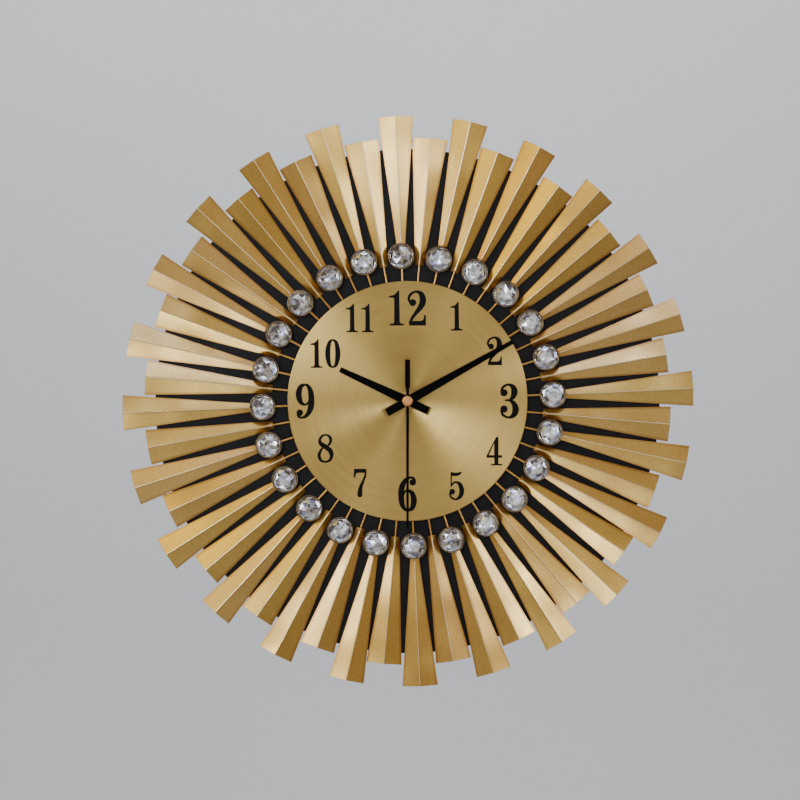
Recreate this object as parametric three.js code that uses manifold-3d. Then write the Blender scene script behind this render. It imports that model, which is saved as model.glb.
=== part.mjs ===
// Sunburst wall clock: 48 folded blades on two welded wire frames around a round dial,
// 24 faceted stones in cups, three hands and a quartz movement on the back.
// Units are millimetres. The model is drawn in a clock frame, x right, y up and z towards
// the viewer, with the wall at z = 0, and the whole group is turned so that y becomes world
// +Z and the face looks along world -Y.
import * as THREE from 'three';
import { mergeVertices } from 'three/addons/utils/BufferGeometryUtils.js';
import Module from 'manifold-3d';

const wasm = await Module();
wasm.setup();

// ---------- driving dimensions ----------
const RAYS = 24;                       // blades in each of the two sets
const PITCH = 360 / RAYS;              // degrees between blades of one set
const OUTER_SET_START = -2.5;          // first outer ray, degrees clockwise from twelve
const INNER_SET_START = OUTER_SET_START + PITCH / 2;

const BLADE = { length: 111, innerWidth: 7.8, outerWidth: 31, slope: 0.42, sheet: 0.7 };
const OUTER_BLADE_START = 139;         // radius of the inner end of an outer blade
const INNER_BLADE_START = 120;

const ROD_RADIUS = 1.1;
const ROD_SIDES = 6;
const ROD_IN_BLADE = 14;               // how far a rod runs on under its blade
const ROD_SINK = 0.35;                 // how deep a rod is sunk into the fold above it
const ROD_RISE = 0.7;                  // rod axis above the hub plate it is welded to
const GAP = 0.3;                       // between pieces that rest on each other
const WELD = 0.1;                      // overlap of solids that are joined into one piece

const DIAL_RADIUS = 105;
const DIAL_SHEET = 0.8;
const HUB_SHEET = 0.8;                 // plates that the rods are welded to
const BACKING_RADIUS = 221;
const BACKING_SHEET = 0.8;

const STONE_CENTRE = 127;              // radius of the circle of stones
const STONE_FACETS = 8;
const CUP = { radius: 11.5, floor: 8.6, inside: 8.2, depth: 4.4, wall: 0.8, sink: 0.2 };
const STONE = { back: 7.5, girdle: 10.6, table: 6.0, girdleRise: 4.2, height: 6.6 };

const BUSH_RADIUS = 4;                 // threaded bushing of the movement
const BUSH_BORE = 2.9;
const CLEAR_HOLE = 4.4;                // hole that the bushing passes through
const BOSS_RADIUS = 6;                 // thickening of the case round the bushing

const MOVEMENT = { left: -28, right: 28, bottom: -37.1, top: 20, wall: 1.4 };
const BAY_TOP = -20.8;                 // upper end of the battery bay
const ROUND = 16;                      // sides of small round parts
const DISC_SIDES = 48;                 // sides of the dial and the backing disc

// Distances from the wall, each layer a gap in front of the last.
const COVER = [0, 1.4];
const CASE = [COVER[1] + GAP, 15.6];
const CASE_FLOOR = 14.2;               // inner face of the case's front plate
const BAY_FLOOR = 14.8;                // the same in the battery bay
const HANGER = layer(CASE[1], 0.8);
const RUBBER = layer(HANGER[1], 0.8);
const BACKING = layer(RUBBER[1], BACKING_SHEET);
const INNER_HUB = layer(BACKING[1], HUB_SHEET);
const OUTER_HUB = layer(INNER_HUB[1], HUB_SHEET);
const INNER_ROD_AXIS = INNER_HUB[1] + ROD_RISE;
const OUTER_ROD_AXIS = OUTER_HUB[1] + ROD_RISE;
const DIAL = layer(OUTER_ROD_AXIS + ROD_RADIUS, DIAL_SHEET);
const DIAL_WASHER = layer(DIAL[1], 0.5);
const NUT = layer(DIAL_WASHER[1], 2.0);
const BUSH_FRONT = NUT[1] + 0.2;
const HOUR_HAND = layer(BUSH_FRONT + 0.5, 0.6);
const MINUTE_HAND = layer(HOUR_HAND[1] + 1.0, 0.6);
const SECOND_HAND = layer(MINUTE_HAND[1] + 0.8, 0.4);
const CAP = layer(SECOND_HAND[1], 1.8);

const HUB_RADIUS = { outer: 64, inner: 90 };
const ROD_ON_HUB = 17;                 // how far a rod overlaps its hub plate

// Hands, with their directions in degrees clockwise from twelve.
const HANDS = {
  hour: { angle: 295, length: 65, root: 7.6, tip: 3.9, tail: 20, tailWidth: 6.4, hub: 4.6 },
  minute: { angle: 60.6, length: 105, root: 7.6, tip: 3.0, tail: 20.5, tailWidth: 6.4, hub: 4.6 },
  second: { angle: 180, length: 111, root: 2.0, tip: 1.4, tail: 36, tailWidth: 3.8, hub: 3.4,
    neck: 11 },
};
const TUBE_PROUD = 0.4;                // how far a tube stands out of the hand it carries
const SECOND_ARBOR = 0.5;
const SECOND_ARBOR_PROUD = 0.15;
const CANNON = { bore: 0.8, radius: 1.6 };
const HOUR_TUBE = { bore: 1.9, radius: 2.6 };

// Going train (rotor to centre wheel) and motion work (cannon to hour wheel).
const MODULE = { rotor: 0.36, seconds: 0.36, third: 0.37, motion: 0.45 };
const TEETH = {
  rotor: 8, fifth: 40, fifthPinion: 8, seconds: 48,
  secondsPinion: 6, third: 45, thirdPinion: 6, centre: 48,
  cannon: 10, minuteWheel: 30, minutePinion: 8, hour: 32, knob: 14,
};
const GEAR_WIDTH = 0.9;
const DECK = { seconds: 4.0, fifth: 5.3, third: 6.6, centre: 7.9, cannon: 9.6, hour: 11.2 };
const ARBOR = 0.5;
const PIVOT_HOLE = 0.8;
const PLATE = [2.6, 3.4];              // rear bearing plate
const ARBOR_BACK = PLATE[0] + 0.2;

// ---------- solids ----------
function layer(behind, thickness) {
  return [behind + GAP, behind + GAP + thickness];
}

function radians(degrees) {
  return (degrees * Math.PI) / 180;
}

// Merges shared vertices and drops triangles that have no area.
function welded(geometry) {
  const bare = geometry.clone();
  bare.deleteAttribute('normal');
  bare.deleteAttribute('uv');
  const merged = mergeVertices(bare, 1e-4);
  const index = [];
  for (let i = 0; i < merged.index.count; i += 3) {
    const [a, b, c] = [0, 1, 2].map((k) => merged.index.getX(i + k));
    if (a !== b && b !== c && c !== a) index.push(a, b, c);
  }
  merged.setIndex(index);
  return merged;
}

function toManifold(geometry) {
  const g = welded(geometry);
  return new wasm.Manifold(new wasm.Mesh({
    numProp: 3,
    vertProperties: new Float32Array(g.attributes.position.array),
    triVerts: new Uint32Array(g.index.array),
  }));
}

function toGeometry(manifold) {
  const mesh = manifold.getMesh();
  const g = new THREE.BufferGeometry();
  g.setAttribute('position', new THREE.BufferAttribute(mesh.vertProperties, 3));
  g.setIndex(Array.from(mesh.triVerts));
  g.computeVertexNormals();
  return g;
}

function join(...geometries) {
  return toGeometry(geometries.map(toManifold).reduce((a, b) => a.add(b)));
}

function cut(geometry, ...tools) {
  return toGeometry(tools.map(toManifold).reduce((a, b) => a.subtract(b), toManifold(geometry)));
}

// A body of revolution about z, from [radius, z] points that close on themselves.
function turned(profile, segments = ROUND) {
  const points = profile.map(([r, z]) => new THREE.Vector2(r, z));
  points.push(points[0].clone());
  const g = new THREE.LatheGeometry(points, segments);
  g.rotateX(Math.PI / 2);
  return welded(g);
}

function disc(radius, [z0, z1], segments = ROUND) {
  const g = new THREE.CylinderGeometry(radius, radius, z1 - z0, segments);
  g.rotateX(Math.PI / 2);
  g.translate(0, 0, (z0 + z1) / 2);
  return g;
}

function ring(outer, inner, [z0, z1], segments = ROUND) {
  return turned([[inner, z0], [outer, z0], [outer, z1], [inner, z1]], segments);
}

function box([x0, x1], [y0, y1], [z0, z1]) {
  const g = new THREE.BoxGeometry(x1 - x0, y1 - y0, z1 - z0);
  g.translate((x0 + x1) / 2, (y0 + y1) / 2, (z0 + z1) / 2);
  return g;
}

function at(geometry, [x, y]) {
  const g = geometry.clone();
  g.translate(x, y, 0);
  return g;
}

// Turns a geometry drawn along +y to a direction in degrees clockwise from twelve.
function towards(geometry, degrees) {
  const g = geometry.clone();
  g.rotateZ(-radians(degrees));
  return g;
}

function extruded(shape, [z0, z1], curveSegments = 6) {
  const g = new THREE.ExtrudeGeometry(shape, { depth: z1 - z0, bevelEnabled: false, curveSegments });
  g.translate(0, 0, z0);
  return g;
}

// A prism between two outlines with the same number of [x, z] points, at heights y0 and y1.
function tapered(outline0, outline1, y0, y1) {
  const n = outline0.length;
  const positions = [];
  outline0.forEach(([x, z]) => positions.push(x, y0, z));
  outline1.forEach(([x, z]) => positions.push(x, y1, z));
  const contour = outline0.map(([x, z]) => new THREE.Vector2(x, z));
  const caps = THREE.ShapeUtils.triangulateShape(contour, []);
  const index = [];
  caps.forEach(([a, b, c]) => index.push(a, b, c, n + a, n + c, n + b));
  for (let i = 0; i < n; i += 1) {
    const j = (i + 1) % n;
    index.push(i, n + i, n + j, i, n + j, j);
  }
  const g = new THREE.BufferGeometry();
  g.setAttribute('position', new THREE.Float32BufferAttribute(positions, 3));
  g.setIndex(index);
  return g;
}

// ---------- rays ----------
// Section of a folded blade: two flanks of sheet metal meeting at a ridge.
function bladeSection(width, zBack) {
  const half = width / 2;
  const ridge = half * BLADE.slope;
  return [
    [-half, zBack], [0, zBack + ridge], [half, zBack],
    [half, zBack + BLADE.sheet], [0, zBack + ridge + BLADE.sheet], [-half, zBack + BLADE.sheet],
  ];
}

function blade(start, zBack) {
  return tapered(
    bladeSection(BLADE.innerWidth, zBack),
    bladeSection(BLADE.outerWidth, zBack),
    start,
    start + BLADE.length,
  );
}

function rod(start, end, axis) {
  const g = new THREE.CylinderGeometry(ROD_RADIUS, ROD_RADIUS, end - start, ROD_SIDES);
  g.rotateY(Math.PI / ROD_SIDES);
  g.translate(0, (start + end) / 2, axis);
  return g;
}

// Depth of a blade's back edge at which the rod is sunk into the underside of its ridge.
function bladeBack(rodAxis) {
  const ridge = (BLADE.innerWidth / 2) * BLADE.slope;
  return rodAxis + ROD_RADIUS - ridge - ROD_SINK;
}

const CUP_FLOOR = OUTER_ROD_AXIS + ROD_RADIUS - CUP.sink;
const CUP_PROFILE = [
  [0, CUP_FLOOR], [CUP.floor, CUP_FLOOR], [CUP.radius, CUP_FLOOR + CUP.depth],
  [CUP.radius - CUP.wall, CUP_FLOOR + CUP.depth], [CUP.inside, CUP_FLOOR + CUP.wall],
  [0, CUP_FLOOR + CUP.wall],
];
const STONE_BACK = CUP_FLOOR + CUP.wall + GAP;
const STONE_PROFILE = [
  [0, STONE_BACK], [STONE.back, STONE_BACK], [STONE.girdle, STONE_BACK + STONE.girdleRise],
  [STONE.table, STONE_BACK + STONE.height], [0, STONE_BACK + STONE.height],
];

function cup() {
  return at(turned(CUP_PROFILE, STONE_FACETS), [0, STONE_CENTRE]);
}

function stone() {
  return at(turned(STONE_PROFILE, STONE_FACETS), [0, STONE_CENTRE]);
}

function outerRay() {
  const end = OUTER_BLADE_START + ROD_IN_BLADE;
  return join(
    rod(HUB_RADIUS.outer - ROD_ON_HUB, end, OUTER_ROD_AXIS),
    blade(OUTER_BLADE_START, bladeBack(OUTER_ROD_AXIS)),
    cup(),
  );
}

function innerRay() {
  const end = INNER_BLADE_START + ROD_IN_BLADE;
  return join(
    rod(HUB_RADIUS.inner - ROD_ON_HUB, end, INNER_ROD_AXIS),
    blade(INNER_BLADE_START, bladeBack(INNER_ROD_AXIS)),
  );
}

function rayFrame(ray, startAngle, hubRadius, hubDepths) {
  const rays = Array.from({ length: RAYS }, (_, k) => towards(ray, startAngle + k * PITCH));
  return join(ring(hubRadius, CLEAR_HOLE, hubDepths, DISC_SIDES / 2), ...rays);
}

// ---------- gears ----------
// Straight-flanked teeth, thinned for running backlash: heights in modules, and half widths
// as shares of the tooth pitch.
const TOOTH = { dedendum: 1.2, addendum: 0.7, foot: 0.25, crest: 0.08 };

// Phase is the angle of one tooth centre, counter-clockwise from +x, in radians.
function gearShape(teeth, module, phase) {
  const pitchRadius = (teeth * module) / 2;
  const toothPitch = (2 * Math.PI) / teeth;
  const root = pitchRadius - TOOTH.dedendum * module;
  const tip = pitchRadius + TOOTH.addendum * module;
  const flank = [[-TOOTH.foot, root], [-TOOTH.crest, tip], [TOOTH.crest, tip], [TOOTH.foot, root]];
  const points = [];
  for (let k = 0; k < teeth; k += 1) {
    flank.forEach(([share, radius]) => {
      const angle = phase + (k + share) * toothPitch;
      points.push(new THREE.Vector2(radius * Math.cos(angle), radius * Math.sin(angle)));
    });
  }
  return new THREE.Shape(points);
}

function gear(teeth, module, phase, z, width = GEAR_WIDTH) {
  return extruded(gearShape(teeth, module, phase), [z, z + width]);
}

// Phase of a gear that meshes with a driver of the given phase, in direction beta from it.
function meshedPhase(driver, beta, teeth) {
  const offset = ((beta - driver.phase) * driver.teeth) / (2 * Math.PI);
  return beta + Math.PI + ((2 * Math.PI) / teeth) * (offset + 0.5);
}

function step([x, y], distance, beta) {
  return [x + distance * Math.cos(beta), y + distance * Math.sin(beta)];
}

function centreDistance(teethA, teethB, module) {
  return (module * (teethA + teethB)) / 2;
}

const ORIGIN = [0, 0];
const DIRECTION = {
  fifth: radians(35), rotor: radians(-15), third: radians(125),
  minuteWheel: radians(-120), knob: radians(200),
};
const thirdDistance = centreDistance(TEETH.secondsPinion, TEETH.third, MODULE.third);
const centreModule = (2 * thirdDistance) / (TEETH.thirdPinion + TEETH.centre);
const motionDistance = centreDistance(TEETH.cannon, TEETH.minuteWheel, MODULE.motion);
const hourModule = (2 * motionDistance) / (TEETH.minutePinion + TEETH.hour);
const PLACE = {
  fifth: step(ORIGIN, centreDistance(TEETH.fifthPinion, TEETH.seconds, MODULE.seconds),
    DIRECTION.fifth),
  third: step(ORIGIN, thirdDistance, DIRECTION.third),
  minuteWheel: step(ORIGIN, motionDistance, DIRECTION.minuteWheel),
};
PLACE.rotor = step(PLACE.fifth, centreDistance(TEETH.rotor, TEETH.fifth, MODULE.rotor),
  DIRECTION.rotor);
PLACE.knob = step(PLACE.minuteWheel,
  centreDistance(TEETH.knob, TEETH.minuteWheel, MODULE.motion), DIRECTION.knob);

const PHASE = { seconds: 0, cannon: 0, fifth: 0, thirdPinion: 0, minutePinion: 0 };
PHASE.fifthPinion = meshedPhase({ phase: PHASE.seconds, teeth: TEETH.seconds },
  DIRECTION.fifth, TEETH.fifthPinion);
PHASE.rotor = meshedPhase({ phase: PHASE.fifth, teeth: TEETH.fifth },
  DIRECTION.rotor, TEETH.rotor);
PHASE.third = meshedPhase({ phase: PHASE.seconds, teeth: TEETH.secondsPinion },
  DIRECTION.third, TEETH.third);
PHASE.centre = meshedPhase({ phase: PHASE.thirdPinion, teeth: TEETH.thirdPinion },
  DIRECTION.third + Math.PI, TEETH.centre);
PHASE.minuteWheel = meshedPhase({ phase: PHASE.cannon, teeth: TEETH.cannon },
  DIRECTION.minuteWheel, TEETH.minuteWheel);
PHASE.hour = meshedPhase({ phase: PHASE.minutePinion, teeth: TEETH.minutePinion },
  DIRECTION.minuteWheel + Math.PI, TEETH.hour);
PHASE.knob = meshedPhase({ phase: PHASE.minuteWheel, teeth: TEETH.minuteWheel },
  DIRECTION.knob, TEETH.knob);

const PIVOT_FRONT = CASE_FLOOR + 0.7;  // arbors run into blind holes of the front plate

function secondsWheel() {
  return join(
    disc(SECOND_ARBOR, [ARBOR_BACK, SECOND_HAND[1] + SECOND_ARBOR_PROUD], 12),
    gear(TEETH.seconds, MODULE.seconds, PHASE.seconds, DECK.seconds),
    gear(TEETH.secondsPinion, MODULE.third, PHASE.seconds, DECK.seconds + GEAR_WIDTH - WELD,
      DECK.third - DECK.seconds + WELD),
  );
}

function arborGear(wheel, pinion) {
  return join(disc(ARBOR, [ARBOR_BACK, PIVOT_FRONT], 10), wheel, pinion);
}

function fifthWheel() {
  return arborGear(
    gear(TEETH.fifth, MODULE.rotor, PHASE.fifth, DECK.fifth),
    gear(TEETH.fifthPinion, MODULE.seconds, PHASE.fifthPinion, DECK.seconds,
      DECK.fifth - DECK.seconds + WELD),
  );
}

function thirdWheel() {
  return arborGear(
    gear(TEETH.third, MODULE.third, PHASE.third, DECK.third),
    gear(TEETH.thirdPinion, centreModule, PHASE.thirdPinion, DECK.third + GEAR_WIDTH - WELD,
      DECK.centre - DECK.third + WELD),
  );
}

const MAGNET = { radius: 3.0, depths: [8.9, 11.0] };

function rotor() {
  return arborGear(
    gear(TEETH.rotor, MODULE.rotor, PHASE.rotor, DECK.fifth),
    disc(MAGNET.radius, MAGNET.depths, 16),
  );
}

function centreWheel() {
  const wheel = gear(TEETH.centre, centreModule, PHASE.centre, DECK.centre);
  return cut(wheel, disc(CANNON.bore, [DECK.centre - 1, DECK.centre + 2]));
}

function minuteCannon() {
  const tube = disc(CANNON.radius, [DECK.cannon - 0.5, MINUTE_HAND[1] + TUBE_PROUD]);
  const pinion = gear(TEETH.cannon, MODULE.motion, PHASE.cannon, DECK.cannon);
  return cut(join(tube, pinion), disc(CANNON.bore, [DECK.cannon - 2, CAP[1]]));
}

function hourWheel() {
  const tube = disc(HOUR_TUBE.radius, [DECK.hour, HOUR_HAND[1] + TUBE_PROUD]);
  const wheel = gear(TEETH.hour, hourModule, PHASE.hour, DECK.hour);
  return cut(join(tube, wheel), disc(HOUR_TUBE.bore, [DECK.hour - 1, CAP[1]]));
}

const STUD = { radius: 0.65, bore: 0.95 };   // stud that the minute wheel turns on

function minuteWheel() {
  const wheel = gear(TEETH.minuteWheel, MODULE.motion, PHASE.minuteWheel, DECK.cannon);
  const pinion = gear(TEETH.minutePinion, hourModule, PHASE.minutePinion,
    DECK.cannon + GEAR_WIDTH - WELD, DECK.hour - DECK.cannon + WELD);
  return cut(join(wheel, pinion), disc(STUD.bore, [DECK.cannon - 1, CASE_FLOOR]));
}

const KNOB = { radius: 6, depths: [0.3, 1.6], stem: 1.3, grips: 12, grip: 0.45, clear: 6.5 };

function settingKnob() {
  const grips = Array.from({ length: KNOB.grips }, (_, k) => at(
    disc(KNOB.grip, [KNOB.depths[0] - 1, KNOB.depths[1] + 1], 6),
    step(ORIGIN, KNOB.radius, radians((360 / KNOB.grips) * k)),
  ));
  const head = cut(disc(KNOB.radius, KNOB.depths, 2 * KNOB.grips), ...grips);
  return join(
    head,
    disc(KNOB.stem, [KNOB.depths[1] - WELD, DECK.cannon + GEAR_WIDTH], 12),
    gear(TEETH.knob, MODULE.motion, PHASE.knob, DECK.cannon),
    disc(ARBOR, [DECK.cannon, PIVOT_FRONT], 10),
  );
}

// ---------- movement ----------
// A frame of laminations: the rotor turns in its upper bar, the coil sits on its lower bar.
const STATOR = {
  x: [10.2, 24.8], y: [-15, 8.5], depths: [9.4, 10.4], windowX: [13, 22], windowY: [-12, -1.5],
  airGap: 0.5,
};

function stator() {
  const through = [STATOR.depths[0] - 1, STATOR.depths[1] + 1];
  return cut(
    box(STATOR.x, STATOR.y, STATOR.depths),
    box(STATOR.windowX, STATOR.windowY, through),
    at(disc(MAGNET.radius + STATOR.airGap, through, 24), PLACE.rotor),
  );
}

const COIL = { ends: [13.3, 21.7], winding: 2.9, flange: 3.4, flangeWidth: 0.8 };

// Bobbin with end flanges and a winding, around the lower bar of the stator.
function coil() {
  const bar = [STATOR.y[0], STATOR.windowY[0]];
  const axisY = (bar[0] + bar[1]) / 2;
  const axisZ = (STATOR.depths[0] + STATOR.depths[1]) / 2;
  const drum = (radius, x0, x1) => {
    const g = new THREE.CylinderGeometry(radius, radius, x1 - x0, 16);
    g.rotateZ(Math.PI / 2);
    g.translate((x0 + x1) / 2, axisY, axisZ);
    return g;
  };
  const [x0, x1] = COIL.ends;
  const body = join(
    drum(COIL.flange, x0, x0 + COIL.flangeWidth),
    drum(COIL.winding, x0 + WELD, x1 - WELD),
    drum(COIL.flange, x1 - COIL.flangeWidth, x1),
  );
  return cut(body, box(
    [x0 - 1, x1 + 1],
    [bar[0] - GAP, bar[1] + GAP],
    [STATOR.depths[0] - GAP, STATOR.depths[1] + GAP],
  ));
}

const BATTERY = {
  radius: 7.1, body: [-24.2, 24.3], button: 25.3, buttonRadius: 2.7, y: -28.2, z: 7.6,
};

function battery() {
  const along = (radius, x0, x1) => {
    const g = new THREE.CylinderGeometry(radius, radius, x1 - x0, ROUND);
    g.rotateZ(Math.PI / 2);
    g.translate((x0 + x1) / 2, BATTERY.y, BATTERY.z);
    return g;
  };
  return join(
    along(BATTERY.radius, ...BATTERY.body),
    along(BATTERY.buttonRadius, BATTERY.body[1] - WELD, BATTERY.button),
  );
}

const CONTACT = { y: [-33.5, -23], z: [2, 13], positive: [25.7, 26.1], negative: [-26.3, -25.8] };
const TOWER = { tip: 1.4, foot: 3.2, length: 1.4, middle: -25.2 };

function contactPositive() {
  return box(CONTACT.positive, CONTACT.y, CONTACT.z);
}

// A tapered spring tower on a plate, drawn as its outer shape.
function contactNegative() {
  const tower = new THREE.CylinderGeometry(TOWER.tip, TOWER.foot, TOWER.length, 12);
  tower.rotateZ(-Math.PI / 2);
  tower.translate(TOWER.middle, BATTERY.y, BATTERY.z);
  return join(box(CONTACT.negative, CONTACT.y, CONTACT.z), tower);
}

const POST = { width: 1.6, depth: 3, sink: 0.2 };   // corner posts that the plate rests on

function movementCase() {
  const m = MOVEMENT;
  const inner = [m.left + m.wall, m.right - m.wall];
  const works = box(inner, [BAY_TOP + m.wall, m.top - m.wall], [0, CASE_FLOOR]);
  const bay = box(inner, [m.bottom + m.wall, BAY_TOP], [-1, BAY_FLOOR]);
  const above = box([m.left - 1, m.right + 1], [BAY_TOP, m.top + 1], [-1, CASE[0]]);
  const shell = cut(box([m.left, m.right], [m.bottom, m.top], [GAP, CASE[1]]), works, bay, above);
  const bush = disc(BUSH_RADIUS, [CASE_FLOOR + POST.sink, BUSH_FRONT]);
  const boss = disc(BOSS_RADIUS, [CASE_FLOOR + POST.sink, CASE[1]]);
  const stud = at(disc(STUD.radius, [DECK.cannon - GAP, CASE_FLOOR + POST.sink], 10),
    PLACE.minuteWheel);
  const sides = [
    [inner[0] - POST.sink, inner[0] + POST.width],
    [inner[1] - POST.width, inner[1] + POST.sink],
  ];
  const [low, high] = [BAY_TOP + m.wall, m.top - m.wall];
  const ends = [[high - POST.depth, high + POST.sink], [low - POST.sink, low + POST.depth]];
  const posts = sides.flatMap((x) => ends.map(
    (y) => box(x, y, [PLATE[1] + GAP, CASE_FLOOR + POST.sink]),
  ));
  const pivots = ['fifth', 'third', 'rotor', 'knob'].map(
    (name) => at(disc(PIVOT_HOLE, [CASE_FLOOR - 1, PIVOT_FRONT + 0.2], 12), PLACE[name]),
  );
  return cut(join(shell, boss, bush, stud, ...posts), disc(BUSH_BORE, [0, CAP[1]]), ...pivots);
}

function backCover() {
  const m = MOVEMENT;
  const plate = box([m.left, m.right], [BAY_TOP + GAP, m.top], COVER);
  return cut(plate, at(disc(KNOB.clear, [COVER[0] - 1, COVER[1] + 1], 24), PLACE.knob));
}

function middlePlate() {
  const m = MOVEMENT;
  const margin = m.wall + GAP;
  const plate = box(
    [m.left + margin, m.right - margin],
    [BAY_TOP + margin, m.top - margin],
    PLATE,
  );
  const through = [PLATE[0] - 1, PLATE[1] + 1];
  const holes = [ORIGIN, PLACE.fifth, PLACE.third, PLACE.rotor].map(
    (place) => at(disc(PIVOT_HOLE, through, 12), place),
  );
  return cut(plate, ...holes, at(disc(KNOB.stem + GAP, through), PLACE.knob));
}

const BOARD = { x: [-24.6, -15.4], y: [-5, 14], z: [9, 10] };
const CHIP = { radius: 2.4, rise: 1.0, place: [-20, 9] };
const QUARTZ = { radius: 1.0, length: 6, x: -20 };

function circuitBoard() {
  const [, front] = BOARD.z;
  return join(
    box(BOARD.x, BOARD.y, BOARD.z),
    at(disc(CHIP.radius, [front - WELD, front + CHIP.rise], 12), CHIP.place),
  );
}

function quartzCan() {
  const g = new THREE.CylinderGeometry(QUARTZ.radius, QUARTZ.radius, QUARTZ.length, 12);
  g.translate(QUARTZ.x, 0, BOARD.z[1] + GAP + QUARTZ.radius);
  return g;
}

// ---------- mounting hardware ----------
const STRAP = { half: 8, sheet: 0.8, foot: -9, crank: 21, top: 40, tab: [3, 3.8] };
const NAIL_HOLE = { half: 5, bottom: 27, top: 34.5, radius: 2.4 };

// Sheet strap behind the backing disc, cranked back over the case to a tab with a nail hole.
function hanger() {
  const across = [-STRAP.half, STRAP.half];
  const strap = box(across, [STRAP.foot, STRAP.crank + STRAP.sheet], HANGER);
  const crank = box(across, [STRAP.crank, STRAP.crank + STRAP.sheet], [STRAP.tab[0], HANGER[1]]);
  const tab = box(across, [STRAP.crank, STRAP.top], STRAP.tab);
  const n = NAIL_HOLE;
  const nailHole = new THREE.Shape();
  nailHole.moveTo(-n.half, n.bottom);
  nailHole.lineTo(n.half, n.bottom);
  nailHole.lineTo(n.radius, n.top);
  nailHole.absarc(0, n.top, n.radius, 0, Math.PI, false);
  nailHole.lineTo(-n.half, n.bottom);
  return cut(
    join(strap, crank, tab),
    disc(CLEAR_HOLE, [HANGER[0] - 1, HANGER[1] + 1]),
    extruded(nailHole, [STRAP.tab[0] - 1, STRAP.tab[1] + 1]),
  );
}

const WASHER_RADIUS = { rubber: 10, dial: 8.5 };
const NUT_RADIUS = 7;                  // over the corners

function mountingNut() {
  const hexagon = new THREE.CylinderGeometry(NUT_RADIUS, NUT_RADIUS, NUT[1] - NUT[0], 6);
  hexagon.rotateX(Math.PI / 2);
  hexagon.translate(0, 0, (NUT[0] + NUT[1]) / 2);
  return cut(hexagon, disc(CLEAR_HOLE, [NUT[0] - 1, NUT[1] + 1]));
}

// ---------- hands ----------
function handBlade(hand, depths) {
  const shape = new THREE.Shape([
    [-hand.root / 2, 0], [hand.root / 2, 0],
    [hand.tip / 2, hand.length], [-hand.tip / 2, hand.length],
  ].map(([x, y]) => new THREE.Vector2(x, y)));
  return extruded(shape, depths);
}

function hand(spec, depths, bore) {
  const neck = spec.neck ?? 0;
  const half = spec.tailWidth / 2;
  const pieces = [
    disc(spec.hub, depths),
    handBlade(spec, depths),
    box([-half, half], [-spec.tail, -neck], depths),
  ];
  if (neck > 0) {
    pieces.push(box([-spec.root / 2, spec.root / 2], [-neck - 0.5, 0], depths));
  }
  const whole = join(...pieces);
  return towards(cut(whole, disc(bore, [depths[0] - 1, depths[1] + 1])), spec.angle);
}

const CAP_SHAPE = { radius: 4.65, rim: 0.7, top: 3.2 };

function centreCap() {
  const { radius, rim, top } = CAP_SHAPE;
  return turned([
    [0, CAP[0]], [radius, CAP[0]], [radius, CAP[0] + rim], [top, CAP[1]], [0, CAP[1]],
  ]);
}

// ---------- assembly ----------
const FINISH = {
  goldPaint: { color: 0xc9a05a, roughness: 0.38, metalness: 0.85 },
  dialGold: { color: 0xc8b06a, roughness: 0.3, metalness: 0.9 },
  blackPaint: { color: 0x14110f, roughness: 0.6, metalness: 0.1 },
  crystal: { color: 0xe8eef2, roughness: 0.05, metalness: 0.1 },
  blackPlastic: { color: 0x1b1b1d, roughness: 0.5, metalness: 0.0 },
  whitePlastic: { color: 0xe4e2da, roughness: 0.45, metalness: 0.0 },
  brass: { color: 0xc79a4b, roughness: 0.3, metalness: 1.0 },
  roseGold: { color: 0xd9a083, roughness: 0.25, metalness: 1.0 },
  steel: { color: 0xb9bcc0, roughness: 0.35, metalness: 1.0 },
  rubber: { color: 0x1f1f1f, roughness: 0.8, metalness: 0.0 },
  copper: { color: 0xb4663a, roughness: 0.35, metalness: 1.0 },
  board: { color: 0x2f6b3c, roughness: 0.5, metalness: 0.0 },
  battery: { color: 0x2b3f55, roughness: 0.35, metalness: 0.3 },
};

const clock = new THREE.Group();
clock.rotation.x = Math.PI / 2;

function add(name, geometry, finish, place = ORIGIN) {
  const mesh = new THREE.Mesh(geometry, new THREE.MeshStandardMaterial(FINISH[finish]));
  mesh.name = name;
  mesh.position.set(place[0], place[1], 0);
  clock.add(mesh);
}

add('dial', ring(DIAL_RADIUS, CLEAR_HOLE, DIAL, DISC_SIDES), 'dialGold');
add('backing_disc', ring(BACKING_RADIUS, CLEAR_HOLE, BACKING, DISC_SIDES), 'blackPaint');
add('outer_ray_frame', rayFrame(outerRay(), OUTER_SET_START, HUB_RADIUS.outer, OUTER_HUB),
  'goldPaint');
add('inner_ray_frame', rayFrame(innerRay(), INNER_SET_START, HUB_RADIUS.inner, INNER_HUB),
  'goldPaint');
for (let k = 0; k < RAYS; k += 1) {
  const name = `crystal_${String(k + 1).padStart(2, '0')}`;
  add(name, towards(stone(), OUTER_SET_START + k * PITCH), 'crystal');
}

add('movement_case', movementCase(), 'blackPlastic');
add('movement_back_cover', backCover(), 'blackPlastic');
add('middle_plate', middlePlate(), 'whitePlastic');
add('hanger', hanger(), 'steel');
add('rubber_washer', ring(WASHER_RADIUS.rubber, CLEAR_HOLE, RUBBER), 'rubber');
add('dial_washer', ring(WASHER_RADIUS.dial, CLEAR_HOLE, DIAL_WASHER), 'brass');
add('mounting_nut', mountingNut(), 'brass');

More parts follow.
